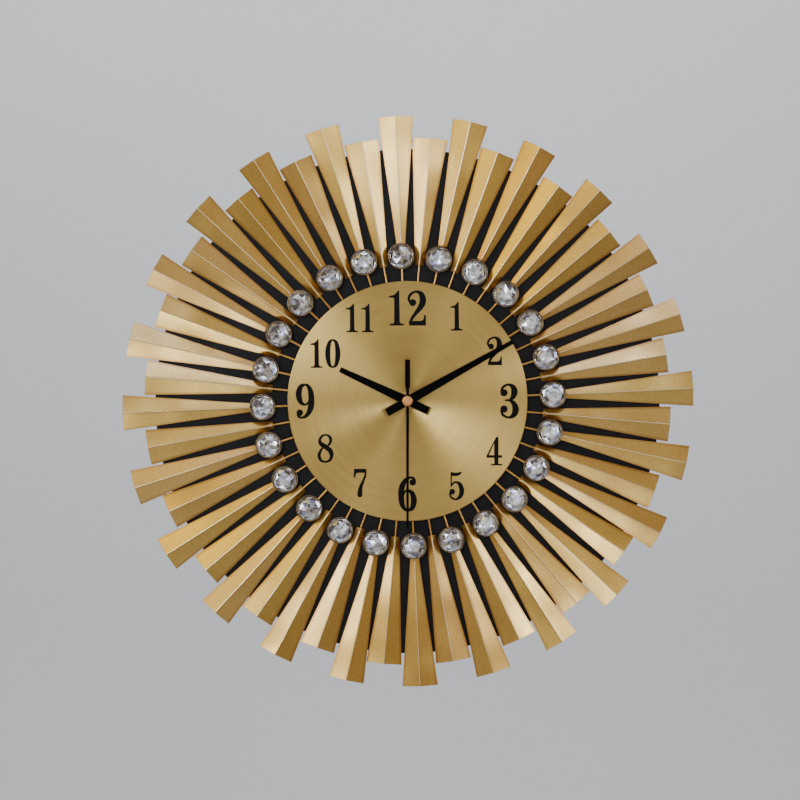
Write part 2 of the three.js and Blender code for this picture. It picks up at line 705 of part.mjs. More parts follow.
add('rotor', rotor(), 'whitePlastic', PLACE.rotor);
add('fifth_wheel', fifthWheel(), 'whitePlastic', PLACE.fifth);
add('seconds_wheel', secondsWheel(), 'steel');
add('third_wheel', thirdWheel(), 'whitePlastic', PLACE.third);
add('centre_wheel', centreWheel(), 'whitePlastic');
add('minute_cannon', minuteCannon(), 'brass');
add('minute_wheel', minuteWheel(), 'whitePlastic', PLACE.minuteWheel);
add('hour_wheel', hourWheel(), 'brass');
add('setting_knob', settingKnob(), 'whitePlastic', PLACE.knob);
add('stator', stator(), 'steel');
add('coil', coil(), 'copper');
add('circuit_board', circuitBoard(), 'board');
add('quartz_can', quartzCan(), 'steel');
add('battery', battery(), 'battery');
add('contact_positive', contactPositive(), 'steel');
add('contact_negative', contactNegative(), 'steel');

add('hour_hand', hand(HANDS.hour, HOUR_HAND, HOUR_TUBE.radius + GAP), 'blackPaint');
add('minute_hand', hand(HANDS.minute, MINUTE_HAND, CANNON.radius + GAP), 'blackPaint');
add('second_hand', hand(HANDS.second, SECOND_HAND, SECOND_ARBOR + GAP), 'blackPaint');
add('centre_cap', centreCap(), 'roseGold');

export default clock;
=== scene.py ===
"""Looks of the sunburst wall clock: 48 folded gold blades on welded wire frames round a spun
metal dial, 24 foil-backed glass stones in cups, three black hands, and the quartz movement
with its hanger on the back. Everything is drawn in the clock frame, in millimetres: x right,
y up and z towards the viewer, with the wall at z = 0."""

import math
import random

import bmesh
import bpy
from mathutils import Matrix, Vector, geometry, noise


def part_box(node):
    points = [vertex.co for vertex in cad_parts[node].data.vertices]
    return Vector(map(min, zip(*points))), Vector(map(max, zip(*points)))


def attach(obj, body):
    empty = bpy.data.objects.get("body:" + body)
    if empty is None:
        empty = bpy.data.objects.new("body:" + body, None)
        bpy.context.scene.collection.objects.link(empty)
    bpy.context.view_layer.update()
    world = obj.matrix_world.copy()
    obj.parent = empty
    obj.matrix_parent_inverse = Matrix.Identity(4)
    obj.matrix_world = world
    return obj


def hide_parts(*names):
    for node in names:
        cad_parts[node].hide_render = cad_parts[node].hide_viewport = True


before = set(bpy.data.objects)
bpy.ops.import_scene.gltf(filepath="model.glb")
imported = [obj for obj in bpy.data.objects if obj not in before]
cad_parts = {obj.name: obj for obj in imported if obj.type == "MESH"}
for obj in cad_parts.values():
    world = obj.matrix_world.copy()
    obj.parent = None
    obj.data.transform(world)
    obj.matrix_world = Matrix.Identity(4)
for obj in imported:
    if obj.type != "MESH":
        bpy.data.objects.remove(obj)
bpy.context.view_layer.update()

MM = 0.001
CLOCK = Matrix.Rotation(math.radians(90), 4, "X")    # clock frame to row frame


def extent(node):
    """A node's box as x, y and z, each from low to high, in millimetres of the clock frame."""
    low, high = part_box(node)
    return [v / MM for v in (low.x, high.x, low.z, high.z, -high.y, -low.y)]


def depths(node):
    """Distances of a node's back and front from the wall."""
    return extent(node)[4:]


def radius_of(node):
    x0, x1 = extent(node)[:2]
    return (x1 - x0) / 2


def centre_of(node):
    low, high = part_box(node)
    middle = (low + high) / 2 / MM
    return middle.x, middle.z


# ---------- driving dimensions ----------
RAYS = 24
PITCH = 360 / RAYS
OUTER_SET_START = -2.5               # first outer ray, degrees clockwise from twelve
INNER_SET_START = OUTER_SET_START + PITCH / 2

BLADE_LENGTH = 111
BLADE_INNER_WIDTH = 7.8
BLADE_OUTER_WIDTH = 31
BLADE_SLOPE = 0.42                   # ridge height over half the width
BLADE_SHEET = 0.7
BLADE_FOLD = 0.30                    # rounding of the ridge
BLADE_SECTIONS = 14
EDGE_PAINTED_SHADE = 0.5                   # strengths of painted shade on the blades and rods, from 0 to 1
UNDER_EDGE_PAINTED_SHADE = 0.75
RIM_PAINTED_SHADE = 0.85
ROD_PAINTED_SHADE = 0.6
OUTER_BLADE_START = 139
INNER_BLADE_START = 120
ROD_RADIUS = 1.1
ROD_IN_BLADE = 14
ROD_ON_HUB = 17
ROD_RISE = 0.7                       # rod axis above its hub plate
HUB_SHEET = 0.8
OUTER_HUB_RADIUS = 64
INNER_HUB_RADIUS = 90
CLEAR_HOLE = 4.4
NUT_RADIUS = 6.9                     # over its corners

STONE_CENTRE = 127
STONE_RADIUS = 10.3
GIRDLE = 0.60                        # of a stone's height, from its back
CUP_RADIUS = 11.5
CUP_DEPTH = 4.4

DIAL_RADIUS = radius_of("dial")

HANDS = {                            # degrees clockwise from twelve, and millimetres
    "hour": dict(angle=295, length=65, root=8.2, tip=4.5, tail=20, tail_width=7.0, bore=2.9),
    "minute": dict(angle=60.6, length=105, root=8.2, tip=3.6, tail=20.5, tail_width=7.0,
                   bore=1.9),
    "second": dict(angle=180, length=111, root=2.4, tip=1.9, tail=36, tail_width=4.2, bore=0.8),
}
HUB = {"hour": 4.6, "minute": 4.6, "second": 3.4}
SECOND_NECK = 11

TALL = 30.6                          # height of the numerals 12, 3, 6 and 9
SHORT = 25.0
INK_SPREAD = 0.014                   # of a numeral's height, added to every pen stroke
NUMERALS = {                         # text, radius of its centre and height
    12: ("12", 81.3, TALL), 1: ("1", 85.5, SHORT), 2: ("2", 87.7, SHORT),
    3: ("3", 89.1, TALL), 4: ("4", 87.6, SHORT), 5: ("5", 85.6, SHORT),
    6: ("6", 81.3, TALL), 7: ("7", 82.9, SHORT), 8: ("8", 82.8, SHORT),
    9: ("9", 89.6, TALL), 10: ("10", 83.0, SHORT), 11: ("11", 83.8, SHORT),
}


# ---------- flat outlines ----------
def circle(radius, centre=(0, 0), steps=32, waves=0, height=0, flat=0):
    """A circle. Waves of some height round its rim make grips, or teeth if they are flat."""
    rim = []
    for k in range(steps):
        a = math.tau * k / steps
        wave = math.cos(waves * a)
        r = radius + height * (math.tanh(flat * wave) if flat else wave)
        rim.append((centre[0] + r * math.cos(a), centre[1] + r * math.sin(a)))
    return rim


def rectangle(x0, x1, y0, y1):
    return [(x0, y0), (x1, y0), (x1, y1), (x0, y1)]


def fillet(points, radius, steps=5, closed=True):
    """The outline with its corners rounded."""
    rounded = []
    count = len(points)
    for i, point in enumerate(points):
        here = Vector(point)
        if not closed and i in (0, count - 1):
            rounded.append(tuple(here))
            continue
        before = Vector(points[i - 1]) - here
        after = Vector(points[(i + 1) % count]) - here
        reach = min(radius, before.length * 0.45, after.length * 0.45)
        a = here + before.normalized() * reach
        b = here + after.normalized() * reach
        for k in range(steps + 1):
            t = k / steps
            rounded.append(tuple(a * (1 - t) ** 2 + here * 2 * t * (1 - t) + b * t * t))
    return rounded


def inside(point, outline):
    x, y = point
    hit = False
    for (x0, y0), (x1, y1) in zip(outline, outline[1:] + outline[:1]):
        if (y0 > y) != (y1 > y) and x < (x1 - x0) * (y - y0) / (y1 - y0) + x0:
            hit = not hit
    return hit


def spline(points, steps=7, closed=False):
    """Points along a Catmull-Rom curve. Each point may carry more values than x and y."""
    values = [Vector(p) for p in points]
    count = len(values)
    spans = count if closed else count - 1
    curve = []
    for i in range(spans):
        pick = [(i + k) % count if closed else min(max(i + k, 0), count - 1)
                for k in (-1, 0, 1, 2)]
        a, b, c, d = (values[k] for k in pick)
        for k in range(steps):
            t = k / steps
            curve.append(0.5 * (2 * b + (c - a) * t + (2 * a - 5 * b + 4 * c - d) * t * t
                                + (3 * b - a - 3 * c + d) * t ** 3))
    if not closed:
        curve.append(values[-1])
    return curve


def stroke(points, closed=False):
    """Quads along a pen stroke, from points with x, y and the stroke's width."""
    curve = spline(points, closed=closed)
    edges = []
    for i, here in enumerate(curve):
        after = curve[(i + 1) % len(curve)] if closed else curve[min(i + 1, len(curve) - 1)]
        before = curve[i - 1] if closed or i else curve[0]
        along = Vector((after.x - before.x, after.y - before.y)).normalized()
        across = Vector((-along.y, along.x)) * (here.z + INK_SPREAD) / 2
        centre = Vector((here.x, here.y))
        edges.append((centre - across, centre + across))
    pairs = list(zip(edges, edges[1:]))
    if closed:
        pairs.append((edges[-1], edges[0]))
    return [[tuple(a[0]), tuple(b[0]), tuple(b[1]), tuple(a[1])] for a, b in pairs]


def signed_area(outline):
    return sum(x0 * y1 - x1 * y0
               for (x0, y0), (x1, y1) in zip(outline, outline[1:] + outline[:1])) / 2


def merged(outlines, holes=()):
    """Vertices and triangles of the union of some outlines, less the holes."""
    points, faces, edges = [], [], []
    for outline in outlines:
        loop = outline if signed_area(outline) > 0 else outline[::-1]
        faces.append(list(range(len(points), len(points) + len(loop))))
        points += [Vector(p) for p in loop]
    for hole in holes:
        first = len(points)
        points += [Vector(p) for p in hole]
        edges += [(first + k, first + (k + 1) % len(hole)) for k in range(len(hole))]
    found, _, triangles, *_ = geometry.delaunay_2d_cdt(points, edges, faces, 0, 1e-6)
    kept = []
    for triangle in triangles:
        middle = sum((found[k] for k in triangle), Vector((0, 0))) / len(triangle)
        solid = any(inside(middle, outline) for outline in outlines)
        if solid and not any(inside(middle, hole) for hole in holes):
            kept.append(list(triangle))
    return found, kept


# ---------- solids ----------
def prism(outlines, z0, z1, holes=()):
    """A flat solid between two depths."""
    points, faces = merged(outlines, holes)
    bm = bmesh.new()
    back = [bm.verts.new(Vector((p[0], p[1], z0)) * MM) for p in points]
    front = [bm.verts.new(Vector((p[0], p[1], z1)) * MM) for p in points]
    directed = {(f[k], f[(k + 1) % len(f)]) for f in faces for k in range(len(f))}
    for f in faces:
        bm.faces.new([front[k] for k in f])
        bm.faces.new([back[k] for k in reversed(f)])
    for i, j in directed:
        if (j, i) not in directed:
            bm.faces.new([back[i], back[j], front[j], front[i]])
    bmesh.ops.dissolve_limit(bm, angle_limit=math.radians(0.5), verts=bm.verts, edges=bm.edges)
    loose = [v for v in bm.verts if not v.link_faces]
    bmesh.ops.delete(bm, geom=loose, context="VERTS")
    return bm


def turned(profile, segments=96, closed=False):
    """A body of revolution about z from [radius, z] points, from axis to axis or closed."""
    bm = bmesh.new()
    rings = []
    for radius, z in profile:
        if radius < 1e-6:
            rings.append([bm.verts.new((0, 0, z * MM))])
            continue
        rings.append([bm.verts.new((radius * MM * math.cos(math.tau * k / segments),
                                    radius * MM * math.sin(math.tau * k / segments), z * MM))
                      for k in range(segments)])
    pairs = list(zip(rings, rings[1:]))
    if closed:
        pairs.append((rings[-1], rings[0]))
    for a, b in pairs:
        for k in range(segments):
            n = (k + 1) % segments
            corners = [a[k % len(a)], a[n % len(a)], b[n % len(b)], b[k % len(b)]]
            unique = list(dict.fromkeys(corners))
            if len(unique) > 2:
                bm.faces.new(unique)
    bmesh.ops.recalc_face_normals(bm, faces=bm.faces)
    return bm


def loft(bm, rings):
    """Quads between rings of equally many vertices."""
    count = len(rings[0])
    for a, b in zip(rings, rings[1:]):
        for k in range(count):
            n = (k + 1) % count
            bm.faces.new((a[k], a[n], b[n], b[k]))


def tube(points, radii, sides=12):
    """A round rod along a line of points, with closed ends."""
    bm = bmesh.new()
    centres = [Vector(p) for p in points]
    rings = []
    for i, centre in enumerate(centres):
        along = (centres[min(i + 1, len(centres) - 1)] - centres[max(i - 1, 0)]).normalized()
        helper = Vector((0, 0, 1)) if abs(along.z) < 0.9 else Vector((1, 0, 0))
        u = along.cross(helper).normalized()
        v = u.cross(along)
        radius = radii[i] if isinstance(radii, (list, tuple)) else radii
        rings.append([bm.verts.new((centre + radius * (u * math.cos(math.tau * k / sides)
                                                       + v * math.sin(math.tau * k / sides)))
                                   * MM) for k in range(sides)])
    loft(bm, rings)
    bm.faces.new(rings[0][::-1])
    bm.faces.new(rings[-1])
    bmesh.ops.recalc_face_normals(bm, faces=bm.faces)
    return bm


def box(x0, x1, y0, y1, z0, z1):
    return prism([rectangle(x0, x1, y0, y1)], z0, z1)


def add_to(bm, other):
    """Copies another solid into bm and frees it."""
    mesh = bpy.data.meshes.new("part")
    other.to_mesh(mesh)
    other.free()
    bm.from_mesh(mesh)
    bpy.data.meshes.remove(mesh)
    return bm


def moved(bm, matrix):
    bm.transform(matrix)
    return bm


def shifted(bm, x=0, y=0, z=0):
    return moved(bm, Matrix.Translation(Vector((x, y, z)) * MM))


def along_x(bm, y, z):
    """Lays a body that was turned about z along x, through a point."""
    return shifted(moved(bm, Matrix.Rotation(math.radians(90), 4, "Y")), y=y, z=z)


def new_object(name, bm, finish, smooth=32):
    mesh = bpy.data.meshes.new(name)
    bm.to_mesh(mesh)
    bm.free()
    mesh.materials.append(finish)
    mesh.shade_smooth()
    if smooth:
        mesh.set_sharp_from_angle(angle=math.radians(smooth))
    obj = bpy.data.objects.new(name, mesh)
    bpy.context.scene.collection.objects.link(obj)
    return obj


def bevelled(obj, width, segments=2, angle=35):
    bevel = obj.modifiers.new("edges", "BEVEL")
    bevel.width = width * MM
    bevel.segments = segments
    bevel.limit_method = "ANGLE"
    bevel.angle_limit = math.radians(angle)
    bevel.harden_normals = True
    return obj


def piece(name, bm, finish, body="root", node=None, turn=0.0, bevel=0.0, smooth=32):
    """A finished piece in its place: turned clockwise about the clock's axis by some degrees."""
    obj = new_object(name, bm, finish, 0 if bevel else smooth)
    obj.matrix_world = CLOCK @ Matrix.Rotation(-math.radians(turn), 4, "Z")
    if bevel:
        bevelled(obj, bevel)
    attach(obj, body)
    if node:
        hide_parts(node)
    return obj


def cut_away(obj, *tools):
    """Cuts other solids out of a piece and drops them."""
    cutters = []
    for k, bm in enumerate(tools):
        cutter = new_object(f"tool_{k}", bm, obj.data.materials[0])
        cutter.matrix_world = obj.matrix_world
        boolean = obj.modifiers.new(f"cut_{k}", "BOOLEAN")
        boolean.operation = "DIFFERENCE"
        boolean.solver = "EXACT"
        boolean.object = cutter
        cutters.append(cutter)
    bpy.context.view_layer.update()
    evaluated = obj.evaluated_get(bpy.context.evaluated_depsgraph_get())
    mesh = bpy.data.meshes.new_from_object(evaluated)
    obj.modifiers.clear()
    obj.data = mesh
    for cutter in cutters:
        bpy.data.objects.remove(cutter)
    return obj


# ---------- materials ----------
class Finish:
    """A Principled material, built up node by node in object coordinates, in metres."""

    def __init__(self, name, colour, **sockets):
        self.material = bpy.data.materials.new(name)
        self.material.use_nodes = True
        self.nodes = self.material.node_tree.nodes
        self.shader = self.nodes["Principled BSDF"]
        self.shader.inputs["Base Color"].default_value = (*colour, 1)
        for socket, value in sockets.items():
            self.shader.inputs[socket.replace("_", " ")].default_value = value
        self.position = self.add("ShaderNodeTexCoord").outputs["Object"]

    def add(self, kind, **properties):
        node = self.nodes.new(kind)
        for key, value in properties.items():
            setattr(node, key, value)
        return node

    def link(self, value, socket):
        if isinstance(value, bpy.types.NodeSocket):
            self.material.node_tree.links.new(value, socket)
        else:
            socket.default_value = value

    def stretched(self, x=1.0, y=1.0, z=1.0):
        """Object coordinates, scaled along each axis, and shifted for each piece."""
        mapping = self.add("ShaderNodeMapping")
        mapping.inputs["Scale"].default_value = (x, y, z)
        self.link(self.position, mapping.inputs["Vector"])
        shift = self.add("ShaderNodeVectorMath", operation="MULTIPLY_ADD")
        chance = self.add("ShaderNodeObjectInfo").outputs["Random"]
        self.link(chance, shift.inputs[0])
        shift.inputs[1].default_value = (7.0, 5.0, 3.0)
        self.link(mapping.outputs["Vector"], shift.inputs[2])
        return shift.outputs["Vector"]

    def noise(self, scale, detail=3.0, roughness=0.5, where=None):
        node = self.add("ShaderNodeTexNoise")
        self.link(where or self.position, node.inputs["Vector"])
        node.inputs["Scale"].default_value = scale
        node.inputs["Detail"].default_value = detail
        node.inputs["Roughness"].default_value = roughness
        return node.outputs["Fac"]

    def drawn(self, x, y, z, detail=3.0, roughness=0.5):
        return self.noise(1.0, detail, roughness, self.stretched(x, y, z))

    def cells(self, scale, where=None):
        node = self.add("ShaderNodeTexVoronoi")
        self.link(where or self.position, node.inputs["Vector"])
        node.inputs["Scale"].default_value = scale
        return node.outputs["Distance"]

    def spread(self, value, low, high, from_low=0.25, from_high=0.75):
        node = self.add("ShaderNodeMapRange")
        self.link(value, node.inputs["Value"])
        node.inputs["From Min"].default_value = from_low
        node.inputs["From Max"].default_value = from_high
        node.inputs["To Min"].default_value = low
        node.inputs["To Max"].default_value = high
        return node.outputs["Result"]

    def sum(self, operation, a, b, c=0.0):
        node = self.add("ShaderNodeMath", operation=operation)
        for socket, value in zip(node.inputs, (a, b, c)):
            self.link(value, socket)
        return node.outputs["Value"]

    def blend(self, share, a, b):
        node = self.add("ShaderNodeMix", data_type="RGBA")
        self.link(share, node.inputs["Factor"])
        self.link((*a, 1) if isinstance(a, tuple) else a, node.inputs[6])
        self.link((*b, 1) if isinstance(b, tuple) else b, node.inputs[7])
        return node.outputs[2]

    def colour(self, value):
        self.link(value, self.shader.inputs["Base Color"])

    def roughness(self, value):
        self.link(value, self.shader.inputs["Roughness"])

    def bump(self, height, depth, normal=None):
        """Relief of some millimetres."""
        node = self.add("ShaderNodeBump")
        node.inputs["Distance"].default_value = depth * MM
        self.link(height, node.inputs["Height"])
        if normal:
            self.link(normal, node.inputs["Normal"])
        self.link(node.outputs["Normal"], self.shader.inputs["Normal"])
        return node.outputs["Normal"]

    def coat_bump(self, normal):
        """Gives the clear coat the relief of what lies under it."""
        self.link(normal, self.shader.inputs["Coat Normal"])

    def axes(self):
        parts = self.add("ShaderNodeSeparateXYZ")
        self.link(self.position, parts.inputs["Vector"])
        return parts.outputs["X"], parts.outputs["Y"]

    def attribute(self, name):
        return self.add("ShaderNodeAttribute", attribute_name=name).outputs["Fac"]


def gold_paint():
    """Satin gold lacquer over folded sheet: fine grain, a clear coat, painted highlight and shade.
    """
    f = Finish("gold_paint", (0.86, 0.58, 0.22), Metallic=1.0, Coat_Weight=1.0,
               Coat_Roughness=0.20, Coat_IOR=1.55)
    clouds = f.drawn(45, 22, 45, 3, 0.5)
    grain = f.drawn(1500, 900, 1500, 3, 0.6)
    mottle = f.drawn(620, 620, 620, 3, 0.65)
    batch = f.add("ShaderNodeObjectInfo").outputs["Random"]
    tint = f.blend(f.spread(batch, 0, 1, 0.0, 1.0), (0.98, 0.63, 0.11), (0.96, 0.56, 0.175))
    base = f.blend(f.spread(clouds, 0, 0.45), tint, (0.88, 0.49, 0.09))
    base = f.blend(f.spread(mottle, 0.0, 0.52, 0.38, 0.62), base, (0.66, 0.36, 0.05))
    base = f.blend(f.spread(grain, 0.0, 0.60, 0.4, 0.7), base, (1.0, 0.78, 0.30))
    specks = f.spread(f.cells(1.0, f.stretched(150, 150, 150)), 1, 0, 0.035, 0.06)
    rare = f.spread(f.drawn(60, 60, 60, 1, 0.5), 0, 0.8, 0.62, 0.66)
    base = f.blend(f.sum("MULTIPLY", specks, rare), base, (0.10, 0.045, 0.02))
    # painted shade on the blades' edges, rims and narrow ends, and on the rods
    base = f.blend(f.attribute("painted_shade"), base, (0.52, 0.21, 0.025))
    # painted highlight along the crease
    base = f.blend(f.attribute("painted_crease_highlight"), base, (1.0, 0.88, 0.60))
    f.colour(base)
    f.roughness(f.spread(clouds, 0.25, 0.34))
    waves = f.drawn(13, 13, 13, 1, 0.4)
    relief = f.bump(f.sum("MULTIPLY_ADD", grain, 0.5, mottle), 0.006)
    f.coat_bump(f.bump(waves, 3.4, relief))
    return f.material


def dial_metal():
    """Spun metal: fine rings, and highlights that open into wedges."""
    f = Finish("dial_gold", (0.78, 0.51, 0.15), Metallic=1.0, Anisotropic=0.88,
               Anisotropic_Rotation=0.25)
    tangent = f.add("ShaderNodeTangent", direction_type="RADIAL", axis="Z")
    f.link(tangent.outputs["Tangent"], f.shader.inputs["Tangent"])
    x, y = f.axes()
    radius = f.sum("SQRT", f.sum("ADD", f.sum("MULTIPLY", x, x), f.sum("MULTIPLY", y, y)), 0)
    angle = f.sum("ARCTAN2", y, x)

    def ring_noise(across, along, detail, roughness):
        polar = f.add("ShaderNodeCombineXYZ")
        f.link(f.sum("MULTIPLY", radius, across), polar.inputs["X"])
        f.link(f.sum("MULTIPLY", angle, along), polar.inputs["Y"])
        return f.noise(1.0, detail, roughness, polar.outputs["Vector"])

    rings = ring_noise(2600.0, 2.2, 4, 0.6)
    bands = ring_noise(240.0, 0.9, 3, 0.55)
    clouds = f.noise(22.0, 3, 0.5)
    base = f.blend(f.spread(bands, 0, 1), (0.53, 0.36, 0.100), (0.47, 0.31, 0.082))
    base = f.blend(f.spread(rings, 0, 0.7), base, (0.66, 0.50, 0.21))
    base = f.blend(f.spread(clouds, 0, 0.25), base, (0.47, 0.285, 0.066))
    f.colour(base)
    f.roughness(f.spread(f.sum("ADD", rings, bands), 0.27, 0.35, 0.7, 1.3))
    waves = f.noise(26.0, 2, 0.5)
    f.bump(waves, 0.25, f.bump(rings, 0.015))
    return f.material


def plain(name, first, second, mix, rough=None, relief=None, **sockets):
    """A finish of two tones. The mix, roughness and relief each follow a noise of their own,
    given by its scale, detail and roughness, and then by its range or its depth."""
    f = Finish(name, first, **sockets)
    f.colour(f.blend(f.spread(f.noise(*mix[0]), *mix[1]), first, second))
    if rough:
        f.roughness(f.spread(f.noise(*rough[0]), *rough[1]))
    if relief:
        f.bump(f.noise(*relief[0]), relief[1])
    return f.material


def cup_metal():
    """The cups' darker antique gold."""
    f = Finish("cup_metal", (0.44, 0.31, 0.17), Metallic=1.0)
    tarnish = f.drawn(260, 260, 260, 4, 0.6)
    f.colour(f.blend(f.spread(tarnish, 0, 1), (0.44, 0.31, 0.17), (0.17, 0.11, 0.06)))
    f.roughness(f.spread(tarnish, 0.26, 0.48))
    f.bump(f.noise(1800.0, 3), 0.012)
    return f.material


def foil():
    """Silver backing of a stone, each facet with a painted brightness: painted glints and shade.
    """
    f = Finish("foil", (0.8, 0.82, 0.88), Metallic=1.0)
    painted_facet_light = f.attribute("painted_facet_light")
    # from painted shade to painted glints
    ramp = f.add("ShaderNodeValToRGB")
    stops = [(0.0, (0.006, 0.006, 0.016)), (0.2, (0.07, 0.07, 0.15)), (0.42, (0.46, 0.49, 0.82)),
             (0.62, (0.84, 0.89, 1.0)), (0.80, (0.95, 0.98, 1.0))]
    for k, (place, colour) in enumerate(stops):
        stop = ramp.color_ramp.elements[k] if k < 2 else ramp.color_ramp.elements.new(place)
        stop.position = place
        stop.color = (*colour, 1)
    f.link(painted_facet_light, ramp.inputs["Fac"])
    patches = f.spread(f.noise(520.0, 2), 0.6, 1.0, 0.35, 0.55)
    f.colour(f.blend(patches, (0.42, 0.44, 0.66), ramp.outputs["Color"]))
    f.roughness(f.spread(f.noise(900.0, 2), 0.18, 0.28))
    return f.material


def plastic(name, dark, light, rough, relief=0.02):
    """Moulded plastic with a fine sparked texture."""
    return plain(name, dark, light, ((120.0, 4), (0, 1)),
                 ((60.0, 3), (rough - 0.06, rough + 0.08)), ((2200.0, 3, 0.6), relief))


def bare_metal(name, colour, worn, rough, stretch=(900, 60, 900)):
    """Plain metal with drawn lines and light tarnish."""
    f = Finish(name, colour, Metallic=1.0)
    lines = f.drawn(*stretch, 4, 0.6)
    f.colour(f.blend(f.spread(f.noise(160.0, 4), 0, 1), colour, worn))
    f.roughness(f.spread(lines, rough - 0.08, rough + 0.12))
    f.bump(lines, 0.012)
    return f.material


def galvanised():
    """Zinc-coated strap, with its spangle."""
    f = Finish("galvanised", (0.55, 0.57, 0.60), Metallic=1.0)
    spangle = f.cells(330.0)
    f.colour(f.blend(f.spread(spangle, 0, 1, 0.1, 0.7), (0.62, 0.64, 0.67), (0.40, 0.42, 0.45)))
    f.roughness(f.spread(spangle, 0.28, 0.5, 0.1, 0.7))
    f.bump(f.noise(1200.0, 3), 0.015)
    return f.material


def copper_wire():
    """Enamelled winding: fine turns round x."""
    f = Finish("copper_wire", (0.55, 0.22, 0.09), Metallic=1.0, Roughness=0.3)
    wave = f.add("ShaderNodeTexWave", bands_direction="X")
    f.link(f.position, wave.inputs["Vector"])
    wave.inputs["Scale"].default_value = 1500.0
    f.colour(f.blend(wave.outputs["Fac"], (0.30, 0.10, 0.04), (0.66, 0.27, 0.11)))
    f.bump(wave.outputs["Fac"], 0.05)
    return f.material


def sleeve():
    """The battery's plain shrink sleeve: dark, with a copper-coloured end."""
    f = Finish("battery_sleeve", (0.02, 0.02, 0.025), Coat_Weight=0.5)
    band = f.spread(f.axes()[0], 0, 1, 0.0120, 0.0122)
    f.colour(f.blend(band, (0.015, 0.016, 0.020), (0.50, 0.22, 0.07)))
    f.roughness(f.spread(f.noise(250.0, 3), 0.22, 0.36))
    f.bump(f.noise(500.0, 3), 0.02)
    return f.material


GOLD = gold_paint()
DIAL = dial_metal()
BLACK = plain("black_paint", (0.004, 0.004, 0.008), (0.022, 0.023, 0.034),
              ((420.0, 4, 0.6), (0, 0.5, 0.5, 0.85)), ((18.0, 3), (0.45, 0.62)),
              ((1600.0, 2), 0.015), Specular_IOR_Level=0.25)
HAND_BLACK = plain("hand_black", (0.001, 0.001, 0.002), (0.004, 0.004, 0.006),
                   ((260.0, 4), (0, 0.6)), ((90.0, 3), (0.48, 0.60)), ((2400.0, 3), 0.01),
                   Specular_IOR_Level=0.05)
INK = plain("numeral_ink", (0.002, 0.002, 0.003), (0.006, 0.006, 0.010),
            ((700.0, 3), (0, 0.5)), None, ((3000.0, 2), 0.006), Roughness=0.45,
            Specular_IOR_Level=0.12)
CUP_METAL = cup_metal()
# Clear glass is drawn as its mirror-like surface alone: the foil shows through it.
GLASS = plain("crystal_glass", (0.93, 0.95, 1.0), (1.0, 1.0, 1.0), ((260.0, 2), (0, 1)),
              ((300.0, 2), (0.01, 0.06)), Metallic=1.0, Alpha=0.22)
FOIL = foil()
BLACK_PLASTIC = plastic("black_plastic", (0.018, 0.018, 0.019), (0.030, 0.030, 0.031), 0.48)
WHITE_PLASTIC = plastic("white_plastic", (0.72, 0.70, 0.64), (0.80, 0.79, 0.74), 0.42, 0.01)
BRASS = bare_metal("brass", (0.50, 0.33, 0.12), (0.36, 0.22, 0.07), 0.30)
ROSE_GOLD = bare_metal("rose_gold", (0.76, 0.39, 0.17), (0.60, 0.27, 0.10), 0.26,
                       (1200, 1200, 60))
STEEL = bare_metal("steel", (0.62, 0.63, 0.65), (0.45, 0.46, 0.48), 0.32)
ZINC = galvanised()
RUBBER = plain("rubber", (0.014, 0.014, 0.014), (0.035, 0.034, 0.033), ((300.0, 4), (0, 1)),
               None, ((1500.0, 4), 0.03), Roughness=0.8)
COPPER = copper_wire()
BOARD = plain("board", (0.015, 0.10, 0.035), (0.03, 0.16, 0.06),
              ((500.0, 2), (0, 1, 0.45, 0.55)), None, ((700.0, 2), 0.03), Roughness=0.4,
              Coat_Weight=0.4)
SLEEVE = sleeve()


